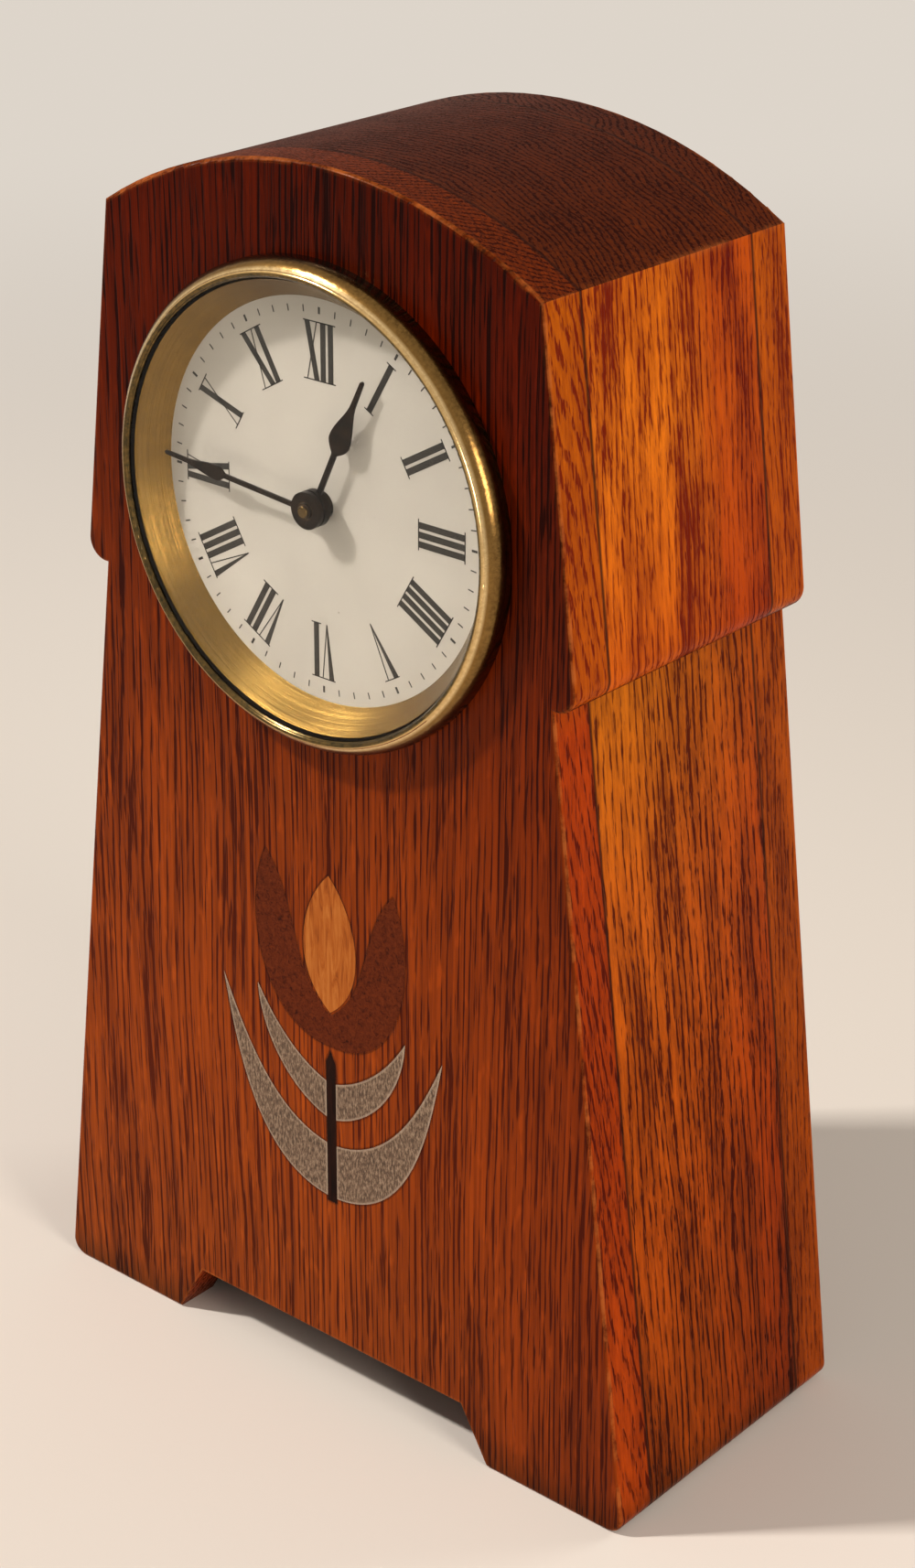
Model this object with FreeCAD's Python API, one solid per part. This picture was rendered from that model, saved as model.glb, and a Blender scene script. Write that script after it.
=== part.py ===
import FreeCAD, Part
import math
import os

V = FreeCAD.Vector

# Oak mantel timepiece with a round brass movement, in millimetres.
# Z is up, the dial faces -Y, and the origin is on the table under the middle of the whole clock.
# Depths inside the case are measured from the front face of the front board and grow rearwards.

# Case: overall form
case_height = 260.0
base_width = 156.5
spring_width = 106.2
arch_rise = 15.2
block_height = 89.2
shoulder_step = 5.4
shoulder_round = 4.3
foot_round = 3.5
edge_round = 0.8

# Case: boards
front_board_thickness = 10.0
block_depth = 50.0
back_board_thickness = 11.0
side_board_thickness = 13.0
base_board_thickness = 10.0
base_board_lift = 1.0
notch_height = 12.5
notch_width = 87.7
notch_taper = 7.2
wood_above_drum_height = 21.1

# Inlay in the front board
inlay_thickness = 1.2
inlay_offset = 2.0
inlay_width_share = 0.3834
inlay_height_share = 0.445
inlay_centre_share = 0.4918
stem_width = 2.6

# Drum that holds the movement
drum_radius = 43.0
drum_wall = 0.7
drum_fit = 0.5
drum_length = 68.0
flange_width = 3.3
flange_thickness = 0.8
shoulder_ring_width = 1.8
shoulder_ring_length = 1.5
lug_width = 6.0
lug_height = 5.0
lug_length = 6.0

# Bezel, glass and sight ring
bezel_cover_width = 1.0
bezel_proud = 5.8
bezel_skirt_height = 1.2
bezel_flank_width = 2.6
bezel_nose_width = 0.6
bezel_lip_width = 0.8
bezel_lip_depth = 0.9
bezel_cheek = 0.45
bezel_belly = 0.55
bezel_wall_gap = 0.1
glass_lap_width = 0.8
glass_thickness = 1.2
glass_gap = 0.1
sight_thickness = 0.55
sight_flange_width = 1.2
sight_slope_width = 4.1

# Dial and its plate
dial_setback = 2.1
dial_edge_width = 0.5
dial_thickness = 1.0
dial_plate_gap = 0.2
dial_plate_thickness = 1.2
dial_hole_gap = 0.35
dial_post_radius = 2.2
dial_post_inset_width = 10.0
dial_post_angles = (60.0, 180.0, 300.0)

# Movement plates
plate_margin_width = 5.3
plate_thickness = 2.0
motion_gap = 4.8
plate_gap = 30.0
pillar_radius = 3.0
pillar_inset_width = 4.0
pillar_angles = (30.0, 100.0, 165.0, 300.0)
screw_head_radius = 2.6
screw_head_height = 1.5
screw_shank_radius = 1.3
screw_slot_width = 0.6
screw_slot_depth = 0.6
running_clearance = 0.05
end_play = 0.2

# Wheels: tooth forms as shares of the module and of the tooth pitch
wheel_addendum_share = 0.8
wheel_dedendum_share = 1.1
wheel_root_share = 0.52
wheel_tip_share = 0.22
pinion_addendum_share = 0.5
pinion_dedendum_share = 1.15
pinion_root_share = 0.42
pinion_tip_share = 0.2
wheel_thickness = 1.1
rim_width = 1.9
spoke_width = 1.5
spoke_count = 4
arbor_radius = 0.8
pivot_radius = 0.5
escape_arbor_radius = 0.6

# Going train: teeth, modules and where each arbor stands as seen from the front
great_teeth = 72
centre_pinion_teeth = 12
great_module_share = 0.012162
barrel_angle = 230.6
centre_teeth = 64
third_pinion_teeth = 8
centre_module_share = 0.012162
third_angle = 111.7
third_teeth = 60
fourth_pinion_teeth = 8
third_module_share = 0.010811
fourth_angle = 9.0
fourth_teeth = 60
escape_pinion_teeth = 6
fourth_module_share = 0.009459
escape_angle = -24.6
centre_wheel_setback = 1.0
third_wheel_setback = 9.0
fourth_wheel_setback = 17.0
pinion_overlap = 1.2

# Barrel, mainspring, ratchet and key
barrel_rim_width = 0.9
barrel_wall = 0.7
barrel_cap_thickness = 0.8
barrel_front_setback = 3.5
barrel_length = 22.0
great_wheel_thickness = 1.4
barrel_arbor_radius = 2.0
barrel_hub_share = 0.2614
mainspring_thickness = 0.45
mainspring_hub_gap = 0.4
mainspring_turns = 7
mainspring_play = 0.3
ratchet_teeth = 24
ratchet_radius = 6.5
ratchet_depth = 0.9
ratchet_thickness = 1.2
click_pivot_width = 2.9
click_angle = 205.0
click_radius = 1.5
click_width = 1.3
click_gap = 0.12
click_reach_angle = 38.0
click_spring_thickness = 0.4
click_spring_height = 0.9
click_spring_gap = 0.9
key_hub_radius = 3.2
key_hub_length = 6.5
key_wing_radius_share = 0.1514
key_wing_hole_share = 0.0811
key_wing_thickness = 2.2
key_wing_place_share = 0.173
key_stem_radius = 2.4

# Centre arbor, motion work and hands
centre_arbor_radius = 1.2
centre_pipe_radius = 1.9
cannon_radius = 1.9
cannon_teeth = 12
minute_wheel_teeth = 36
minute_module_share = 0.013514
minute_pinion_teeth = 10
hour_wheel_teeth = 40
minute_post_angle = 307.0
minute_post_radius = 0.8
hour_pipe_wall = 0.6
motion_thickness = 1.0
motion_air = 0.6
hand_thickness = 0.45
hand_boss_radius = 3.6
hour_hand_lift = 2.0
hour_boss_height = 1.4
minute_hand_lift = 3.7
minute_boss_height = 1.1
hour_hand_length_share = 0.75
hour_blade_start_share = 0.326
hour_blade_widest_share = 0.398
hour_blade_width = 4.9
hour_stem_width = 1.15
minute_hand_length_share = 0.938
minute_blade_start_share = 0.54
minute_blade_widest_share = 0.588
minute_blade_width = 2.9
minute_stem_width = 0.95
hand_tip_width = 0.8
hand_facets = 8
hand_neck_share = 0.9
hand_neck_place = 0.64
hour_hand_angle = 25.0
minute_hand_angle = 275.0
collet_radius = 1.6
collet_height = 0.5
arbor_tip_height = 0.5
washer_radius = 3.2
washer_thickness = 0.5
set_knob_radius_share = 0.119
set_knob_length = 6.0
set_knob_setback = 7.0
set_knob_flutes = 20
set_knob_flute_radius = 0.45

# Escapement and balance
escape_teeth = 15
escape_radius_share = 0.12162
escape_tooth_depth = 1.0
escape_thickness = 0.8
escape_setback = 1.4
pallet_span_angle = 84.0
pallet_clearance = 0.5
pallet_width = 1.0
lever_width = 1.1
fork_half_width = 1.2
fork_length = 2.2
fork_gap = 0.9
lever_hub_radius = 1.3
balance_place_share = 0.39054
balance_angle = -84.1
balance_radius_share = 0.24324
balance_rim_width = 1.2
balance_thickness = 1.2
balance_arm_width = 1.4
balance_hub_radius = 1.5
balance_staff_radius = 0.8
balance_setback = 3.4
timing_screws = 12
timing_screw_radius = 0.45
timing_screw_length = 0.7
roller_radius = 2.2
roller_thickness = 0.5
impulse_pin_offset = 1.7
impulse_pin_radius = 0.25
hairspring_inner_radius = 1.9
hairspring_gap = 0.45
hairspring_thickness = 0.15
hairspring_height = 0.5
hairspring_turns = 6
hairspring_air = 0.7
cock_thickness = 1.5
cock_half_width = 2.4
escape_cock_setback = 3.4
balance_cock_setback = 6.6
cock_foot_radius = 2.6
balance_foot_share = 0.43243
balance_foot_angle = -73.0
escape_foot_share = 0.24324
escape_foot_angles = (186.0, -17.0)
stud_radius = 0.6
banking_radius = 0.5
index_thickness = 0.6
index_ring_radius = 3.0
index_hole_radius = 1.4
index_length = 9.0
index_width = 1.1
index_angle = 140.0

# Back ring, door and their fastenings
ring_margin_width = 5.0
ring_lap_width = 9.0
ring_thickness = 1.2
door_lap_width = 1.8
door_thickness = 1.0
door_dome = 1.6
door_gap = 0.15
door_flat_share = 0.86
hinge_pin_radius = 0.8
hinge_knuckle_radius = 1.8
hinge_knuckle_length = 6.0
hinge_gap = 0.25
hinge_setback = 2.6
hinge_leaf_width = 5.0
door_knob_radius = 3.0
door_knob_neck_radius = 1.4
door_knob_height = 5.0
door_knob_inset_width = 5.8
wood_screw_inset_width = 2.4
wood_screw_angles = (45.0, 135.0, 270.0)
wood_screw_radius = 1.2
wood_screw_length = 8.0
wood_screw_head_radius = 2.2
wood_screw_head_height = 1.0
draw_screw_inset_width = 3.4
draw_screw_angles = (90.0, 250.0)
draw_screw_radius = 1.25
draw_screw_length = 5.0
draw_screw_head_radius = 2.1
draw_screw_head_height = 1.3

# One overrun for every cut that passes right through a piece
overrun = 1.0

# Places worked out from the sizes above
case_depth = front_board_thickness + block_depth + back_board_thickness
rear_proud = ring_thickness + door_gap + door_thickness + door_dome + door_knob_height
front_y = -(bezel_proud + case_depth + rear_proud) / 2 + bezel_proud
spring_height = case_height - arch_rise
shoulder_height = case_height - block_height
side_slope = (base_width / 2 + shoulder_step - spring_width / 2) / spring_height
inlay_width = base_width * inlay_width_share
inlay_height = shoulder_height * inlay_height_share
inlay_centre_z = shoulder_height * inlay_centre_share
arch_radius = ((spring_width / 2) ** 2 + arch_rise ** 2) / (2 * arch_rise)
dial_height = case_height - wood_above_drum_height - drum_radius
drum_hole_radius = drum_radius + drum_fit
drum_bore_radius = drum_radius - drum_wall
flange_radius = drum_radius + flange_width
bezel_radius = flange_radius + bezel_cover_width
bezel_nose_radius = bezel_radius - bezel_flank_width
bezel_lip_radius = bezel_nose_radius - bezel_lip_width
glass_radius = bezel_lip_radius + glass_lap_width
sight_flange_radius = glass_radius - glass_gap
sight_mouth_radius = sight_flange_radius - sight_flange_width
sight_throat_radius = sight_mouth_radius - sight_slope_width
dial_plate_radius = drum_bore_radius - dial_plate_gap
dial_radius = dial_plate_radius - dial_edge_width
block_front = front_board_thickness
block_back = block_front + block_depth
case_back = case_depth

dial_face = dial_setback
dial_back = dial_face + dial_thickness
dial_plate_back = dial_back + dial_plate_thickness
front_plate_front = dial_plate_back + motion_gap
front_plate_back = front_plate_front + plate_thickness
back_plate_front = front_plate_back + plate_gap
back_plate_back = back_plate_front + plate_thickness


# The movement fills the drum, so its circles and modules follow the radius of its plates
plate_radius = drum_bore_radius - plate_margin_width
pillar_circle = plate_radius - pillar_inset_width
dial_post_circle = plate_radius - dial_post_inset_width
great_module = plate_radius * great_module_share
centre_module = plate_radius * centre_module_share
third_module = plate_radius * third_module_share
fourth_module = plate_radius * fourth_module_share
minute_module = plate_radius * minute_module_share
barrel_radius = great_teeth * great_module / 2 - barrel_rim_width
escape_radius = plate_radius * escape_radius_share
balance_distance = plate_radius * balance_place_share
balance_radius = plate_radius * balance_radius_share
balance_foot_distance = plate_radius * balance_foot_share
escape_foot_distance = plate_radius * escape_foot_share
set_knob_radius = plate_radius * set_knob_radius_share
key_wing_radius = plate_radius * key_wing_radius_share
key_wing_hole_radius = plate_radius * key_wing_hole_share
key_wing_centre = plate_radius * key_wing_place_share
click_pivot_circle = ratchet_radius + click_pivot_width
barrel_hub_radius = barrel_radius * barrel_hub_share
mainspring_inner_radius = barrel_hub_radius + mainspring_hub_gap
mainspring_outer_radius = barrel_radius - barrel_wall - mainspring_play
mainspring_pitch = (mainspring_outer_radius - mainspring_inner_radius - mainspring_thickness) / mainspring_turns
hairspring_pitch = hairspring_thickness + hairspring_gap

# The hands reach for the figures and the minute marks inside the sight ring
hour_hand_length = sight_throat_radius * hour_hand_length_share
hour_blade_start = sight_throat_radius * hour_blade_start_share
hour_blade_widest = sight_throat_radius * hour_blade_widest_share
minute_hand_length = sight_throat_radius * minute_hand_length_share
minute_blade_start = sight_throat_radius * minute_blade_start_share
minute_blade_widest = sight_throat_radius * minute_blade_widest_share

# The ring and door at the rear close the drum's mouth
ring_radius = drum_hole_radius + ring_margin_width
ring_opening_radius = drum_radius - ring_lap_width
door_radius = ring_opening_radius + door_lap_width
hinge_offset = door_radius + hinge_setback
door_knob_place = door_radius - door_knob_inset_width
wood_screw_circle = drum_hole_radius + wood_screw_inset_width
draw_screw_circle = drum_bore_radius - draw_screw_inset_width


def polar(distance, angle, origin=(0, 0)):
    turn = math.radians(angle)
    return (origin[0] + distance * math.cos(turn), origin[1] + distance * math.sin(turn))


def mesh_distance(first_teeth, second_teeth, module):
    return (first_teeth + second_teeth) * module / 2


# Arbor places in the dial's own plane: right of the centre and above it
centre_at = (0, 0)
barrel_at = polar(mesh_distance(great_teeth, centre_pinion_teeth, great_module), barrel_angle)
third_at = polar(mesh_distance(centre_teeth, third_pinion_teeth, centre_module), third_angle)
fourth_at = polar(mesh_distance(third_teeth, fourth_pinion_teeth, third_module), fourth_angle, third_at)
escape_at = polar(mesh_distance(fourth_teeth, escape_pinion_teeth, fourth_module), escape_angle, fourth_at)
minute_post_distance = mesh_distance(cannon_teeth, minute_wheel_teeth, minute_module)
minute_post_at = polar(minute_post_distance, minute_post_angle)
hour_module = 2 * minute_post_distance / (minute_pinion_teeth + hour_wheel_teeth)
pallet_half_angle = pallet_span_angle / 2
lever_distance = escape_radius / math.cos(math.radians(pallet_half_angle))
lever_at = polar(lever_distance, balance_angle, escape_at)
balance_at = polar(balance_distance, balance_angle, lever_at)


def at(x, depth, z):
    """A point from its place right of the middle, its depth in the case and its height."""
    return V(x, front_y + depth, z)


def on_dial(point):
    """A place in the dial's plane as a place in the whole clock."""
    return (point[0], dial_height + point[1])


def rod(centre, near, far, radius):
    """A round bar along the depth of the case, centred on a place in the dial's plane."""
    x, z = on_dial(centre)
    return Part.makeCylinder(radius, far - near, at(x, near, z), V(0, 1, 0))


def tube(centre, near, far, radius, bore):
    return rod(centre, near, far, radius).cut(rod(centre, near - overrun, far + overrun, bore))


def prism(points, near, far, dial_plane=True):
    """A straight-sided slab whose outline is a list of places."""
    places = [on_dial(p) for p in points] if dial_plane else points
    corners = [at(x, near, z) for x, z in places]
    wire = Part.makePolygon(corners + [corners[0]])
    return Part.Face(wire).extrude(V(0, far - near, 0))


def turned(centre, profile):
    """A piece turned on a lathe: pairs of radius and depth around an axis along the depth."""
    x, z = on_dial(centre)
    corners = [at(x + radius, depth, z) for radius, depth in profile]
    face = Part.Face(Part.makePolygon(corners + [corners[0]]))
    return face.revolve(at(x, 0, z), V(0, 1, 0), 360)


def fused(shapes):
    whole = shapes[0]
    for shape in shapes[1:]:
        whole = whole.fuse(shape)
    return whole.removeSplitter()


def save(name, shape):
    shape.exportStep(os.path.join("parts", name + ".step"))


def capsule(first, second, half_width, near, far):
    """A bar with round ends between two places in the dial's plane."""
    dx = second[0] - first[0]
    dz = second[1] - first[1]
    length = math.hypot(dx, dz)
    nx = -dz / length * half_width
    nz = dx / length * half_width
    bar = prism([(first[0] + nx, first[1] + nz), (second[0] + nx, second[1] + nz),
                 (second[0] - nx, second[1] - nz), (first[0] - nx, first[1] - nz)], near, far)
    return fused([bar, rod(first, near, far, half_width), rod(second, near, far, half_width)])


def slotted_screw(centre, head_top, head_height, head_radius, shank_end, shank_radius):
    """A cheese-head screw that points towards the dial, with its slot at the rear."""
    x, z = on_dial(centre)
    head = rod(centre, head_top - head_height, head_top, head_radius)
    shank = rod(centre, shank_end, head_top - head_height, shank_radius)
    slot = Part.makeBox(2 * (head_radius + overrun), screw_slot_depth + overrun, screw_slot_width,
                        at(x - head_radius - overrun, head_top - screw_slot_depth, z - screw_slot_width / 2))
    return head.fuse(shank).removeSplitter().cut(slot)


def toothed(centre, teeth, module, near, far, pinion, first_angle):
    """A toothed disc with one tooth centred on first_angle."""
    addendum = module * (pinion_addendum_share if pinion else wheel_addendum_share)
    dedendum = module * (pinion_dedendum_share if pinion else wheel_dedendum_share)
    root_share = pinion_root_share if pinion else wheel_root_share
    tip_share = pinion_tip_share if pinion else wheel_tip_share
    root = teeth * module / 2 - dedendum
    tip = teeth * module / 2 + addendum
    pitch = 360.0 / teeth
    points = []
    for tooth in range(teeth):
        middle = first_angle + tooth * pitch
        points.append(polar(root, middle - root_share * pitch / 2, centre))
        points.append(polar(tip, middle - tip_share * pitch / 2, centre))
        points.append(polar(tip, middle + tip_share * pitch / 2, centre))
        points.append(polar(root, middle + root_share * pitch / 2, centre))
    return prism(points, near, far)


def crossed_out(disc, centre, outer, hub, near, far):
    """Cut the windows between the spokes of a wheel."""
    windows = tube(centre, near - overrun, far + overrun, outer, hub)
    for spoke in range(spoke_count):
        angle = 360.0 * spoke / spoke_count + 45
        windows = windows.cut(capsule(centre, polar(outer, angle, centre), spoke_width / 2,
                                      near - 2 * overrun, far + 2 * overrun))
    return disc.cut(windows)


def pinned_arbor(centre, near, far, radius=arbor_radius):
    """An arbor between the plates with a thin pivot at each end."""
    body = rod(centre, front_plate_back + end_play, back_plate_front - end_play, radius)
    return fused([body, rod(centre, near, far, pivot_radius)])


def mesh_phase(wheel_at, pinion_at, pinion_teeth):
    """Angles that put a wheel's tooth into a pinion's gap on their line of centres."""
    line = math.degrees(math.atan2(pinion_at[1] - wheel_at[1], pinion_at[0] - wheel_at[0]))
    return line, line + 180 + 180.0 / pinion_teeth


def spiral_strip(centre, inner, pitch, thickness, half_turns, near, far, start_angle):
    """A flat strip wound in half circles whose centre moves from side to side."""
    x, z = on_dial(centre)
    step = pitch / 4
    direction = polar(1, start_angle)

    def half_circle(turn, radius):
        side = -1 if turn % 2 == 0 else 1
        cx = x + side * step * direction[0]
        cz = z + side * step * direction[1]
        ends = []
        for angle in (start_angle, start_angle + 90, start_angle + 180):
            ends.append(polar(radius, angle + 180 * turn, (cx, cz)))
        return [at(px, near, pz) for px, pz in ends]

    edges = []
    radii = [inner + pitch / 2 * turn for turn in range(half_turns)]
    inner_arcs = [half_circle(turn, radius) for turn, radius in enumerate(radii)]
    outer_arcs = [half_circle(turn, radius + thickness) for turn, radius in enumerate(radii)]
    for arc in inner_arcs:
        edges.append(Part.Arc(arc[0], arc[1], arc[2]).toShape())
    edges.append(Part.makeLine(inner_arcs[-1][2], outer_arcs[-1][2]))
    for arc in reversed(outer_arcs):
        edges.append(Part.Arc(arc[2], arc[1], arc[0]).toShape())
    edges.append(Part.makeLine(outer_arcs[0][0], inner_arcs[0][0]))
    return Part.Face(Part.Wire(edges)).extrude(V(0, far - near, 0))


# The case boards

def side_x(z, lower):
    """Half the case's width at a height, on the lower body or on the upper block."""
    upper = spring_width / 2 + side_slope * (spring_height - z)
    return upper - shoulder_step if lower else upper


def rounded_outline(corners, near):
    """A closed wire of straight runs whose corners carry the stated radii."""
    edges = []
    starts = []
    ends = []
    count = len(corners)
    for index, (x, z, radius) in enumerate(corners):
        before = corners[index - 1]
        after = corners[(index + 1) % count]
        back = V(before[0] - x, 0, before[1] - z)
        ahead = V(after[0] - x, 0, after[1] - z)
        back.normalize()
        ahead.normalize()
        corner = at(x, near, z)
        if radius == 0:
            starts.append(corner)
            ends.append(corner)
            continue
        half = back.getAngle(ahead) / 2
        run = radius / math.tan(half)
        first = corner + back * run
        last = corner + ahead * run
        middle_line = back + ahead
        middle_line.normalize()
        centre = corner + middle_line * (radius / math.sin(half))
        edges.append((index, Part.Arc(first, centre - middle_line * radius, last).toShape()))
        starts.append(first)
        ends.append(last)
    ordered = []
    arcs = dict(edges)
    for index in range(count):
        if index in arcs:
            ordered.append(arcs[index])
        ordered.append(Part.makeLine(ends[index], starts[(index + 1) % count]))
    return Part.Wire(ordered)


def half_outline():
    """The right half of a full board, from its foot to the springing of the arch."""
    return [(base_width / 2, 0, foot_round),
            (side_x(shoulder_height, True), shoulder_height, 0),
            (side_x(shoulder_height, False), shoulder_height, shoulder_round)]


def arch_cut(solid, near, far):
    """Keep what lies under the curve of the top."""
    curve = Part.makeCylinder(arch_radius, far - near + 2 * overrun,
                              at(0, near - overrun, case_height - arch_radius), V(0, 1, 0))
    below = Part.makeBox(base_width + 2 * overrun, far - near + 2 * overrun, spring_height - arch_rise,
                         at(-base_width / 2 - overrun, near - overrun, 0))
    return solid.common(curve.fuse(below).removeSplitter())


def board(near, far):
    """A full board: bracket feet, tapered body, wider upper block and arched top."""
    right = half_outline()
    top_x = side_x(case_height, False)
    right.append((top_x, case_height, 0))
    foot = [(notch_width / 2 - notch_taper, notch_height, 0), (notch_width / 2, 0, 0)]
    left = [(-x, z, radius) for x, z, radius in reversed(foot + right)]
    wire = rounded_outline(foot + right + left, near)
    return arch_cut(Part.Face(wire).extrude(V(0, far - near, 0)), near, far)


def eased(solid, face_depth, radius):
    """Round over the outer edges of one broad face of a board."""
    chosen = []
    for edge in solid.Edges:
        box = edge.BoundBox
        flat = abs(box.YMin - (front_y + face_depth)) + abs(box.YMax - (front_y + face_depth)) < radius / 100
        if flat and box.ZMax > notch_height + radius:
            chosen.append(edge)
    return solid.makeFillet(radius, chosen)


def inlay_point(x_share, z_share):
    """A point of the inlay, as shares of its half width and half height from its middle."""
    return (inlay_offset + x_share * inlay_width / 2, inlay_centre_z + z_share * inlay_height / 2)


def curved_piece(runs, near, far):
    """A flat piece bounded by smooth curves, each through its own list of places."""
    edges = []
    for run in runs:
        points = [at(x, near, z) for x, z in run]
        if len(points) == 2:
            edges.append(Part.makeLine(points[0], points[1]))
        else:
            curve = Part.BSplineCurve()
            curve.interpolate(points)
            edges.append(curve.toShape())
    return Part.Face(Part.Wire(edges)).extrude(V(0, far - near, 0))


def mirrored(run, side):
    """A run of shares on one side of the stem, as places."""
    return [inlay_point(side * x, z) for x, z in run]


stem_half_share = stem_width / inlay_width

# Outlines of the flower, as shares of the inlay's half width and half height
petal_outer_shares = ((0.0, -0.04), (0.42, 0.08), (0.64, 0.44), (0.56, 0.98))
petal_inner_shares = ((0.56, 0.98), (0.37, 0.70), (0.26, 0.42), (0.0, 0.14))
heart_side_shares = ((0.0, 0.16), (0.23, 0.48), (0.17, 0.76), (0.0, 0.96))
leaf_outer_shares = ((stem_half_share, -0.97), (0.46, -0.84), (0.80, -0.42), (0.98, 0.14))
leaf_inner_shares = ((0.98, 0.14), (0.68, -0.30), (0.38, -0.54), (stem_half_share, -0.64))
bud_outer_shares = ((stem_half_share, -0.48), (0.30, -0.38), (0.54, -0.16), (0.66, 0.16))
bud_inner_shares = ((0.66, 0.16), (0.42, -0.08), (0.22, -0.20), (stem_half_share, -0.26))


def inlay_shapes(near, far):
    """The four woods and metals of the inlay, each a list of flat solids."""
    petals = []
    leaves = []
    buds = []
    for side in (1, -1):
        petals.append(curved_piece([mirrored(petal_outer_shares, side), mirrored(petal_inner_shares, side),
                                    mirrored((petal_inner_shares[-1], petal_outer_shares[0]), side)],
                                   near, far))
        leaves.append(curved_piece([mirrored(leaf_outer_shares, side), mirrored(leaf_inner_shares, side),
                                    mirrored((leaf_inner_shares[-1], leaf_outer_shares[0]), side)],
                                   near, far))
        buds.append(curved_piece([mirrored(bud_outer_shares, side), mirrored(bud_inner_shares, side),
                                  mirrored((bud_inner_shares[-1], bud_outer_shares[0]), side)],
                                 near, far))
    heart = curved_piece([mirrored(heart_side_shares, 1), list(reversed(mirrored(heart_side_shares, -1)))],
                         near, far)
    stem = prism([inlay_point(stem_half_share, -1.0), inlay_point(stem_half_share, -0.14),
                  inlay_point(0, -0.07), inlay_point(-stem_half_share, -0.14),
                  inlay_point(-stem_half_share, -1.0)], near, far, dial_plane=False)
    return {"inlay_petals": petals, "inlay_heart": [heart], "inlay_leaves": leaves,
            "inlay_buds": buds, "inlay_stem": [stem]}


def build_case():
    """The boards of the case and the inlay let into the front board."""
    drum_way = rod(centre_at, -overrun, case_back + overrun, drum_hole_radius)
    front = eased(board(0, block_front), 0, edge_round).cut(drum_way)
    inlay = inlay_shapes(0, inlay_thickness)
    for name, solids in inlay.items():
        save(name, Part.makeCompound(solids))
        for solid in solids:
            front = front.cut(solid)
    save("front_board", front)
    back = eased(board(block_back, case_back), case_back, edge_round).cut(drum_way)
    for angle in wood_screw_angles:
        back = back.cut(rod(polar(wood_screw_circle, angle), case_back - wood_screw_length,
                            case_back + overrun, wood_screw_radius))
    save("back_board", back)
    top_x = side_x(case_height, False)
    right = [(side_x(shoulder_height, False), shoulder_height, shoulder_round), (top_x, case_height, 0)]
    left = [(-x, z, radius) for x, z, radius in reversed(right)]
    wire = rounded_outline(right + left, block_front)
    block = arch_cut(Part.Face(wire).extrude(V(0, block_depth, 0)), block_front, block_back)
    save("upper_block", block.cut(drum_way))
    for name, side in (("side_left", -1), ("side_right", 1)):
        low = base_width / 2
        high = side_x(shoulder_height, True)
        corners = [(side * low, 0, foot_round), (side * high, shoulder_height, 0),
                   (side * (high - side_board_thickness), shoulder_height, 0),
                   (side * (low - side_board_thickness), 0, 0)]
        wire = rounded_outline(corners, block_front)
        save(name, Part.Face(wire).extrude(V(0, block_depth, 0)))
    low = notch_height + base_board_lift
    high = low + base_board_thickness
    inner_low = side_x(low, True) - side_board_thickness
    inner_high = side_x(high, True) - side_board_thickness
    save("base_board", prism([(-inner_low, low), (inner_low, low), (inner_high, high), (-inner_high, high)],
                             block_front, block_back, dial_plane=False))


# The drum, bezel and dial

def build_drum():
    """The brass can of the movement, with its front flange, inner shoulder and two lugs."""
    flange = tube(centre_at, -flange_thickness, 0, flange_radius, drum_bore_radius)
    wall = tube(centre_at, -flange_thickness, drum_length, drum_radius, drum_bore_radius)
    seat = tube(centre_at, dial_plate_back, dial_plate_back + shoulder_ring_length,
                drum_bore_radius + drum_wall / 2, drum_bore_radius - shoulder_ring_width)
    shapes = [flange, wall, seat]
    disc = rod(centre_at, drum_length - lug_length, drum_length, drum_bore_radius + drum_wall / 2)
    holes = []
    for angle in draw_screw_angles:
        inner = polar(drum_bore_radius - lug_height, angle)
        outer = polar(drum_radius, angle)
        across = polar(lug_width / 2, angle + 90)
        block = prism([(inner[0] - across[0], inner[1] - across[1]), (outer[0] - across[0], outer[1] - across[1]),
                       (outer[0] + across[0], outer[1] + across[1]), (inner[0] + across[0], inner[1] + across[1])],
                      drum_length - lug_length, drum_length)
        shapes.append(block.common(disc))
        holes.append(rod(polar(draw_screw_circle, angle), drum_length - lug_length - overrun,
                         drum_length + overrun, draw_screw_radius))
    save("drum", fused(shapes).cut(Part.makeCompound(holes)))


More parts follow.
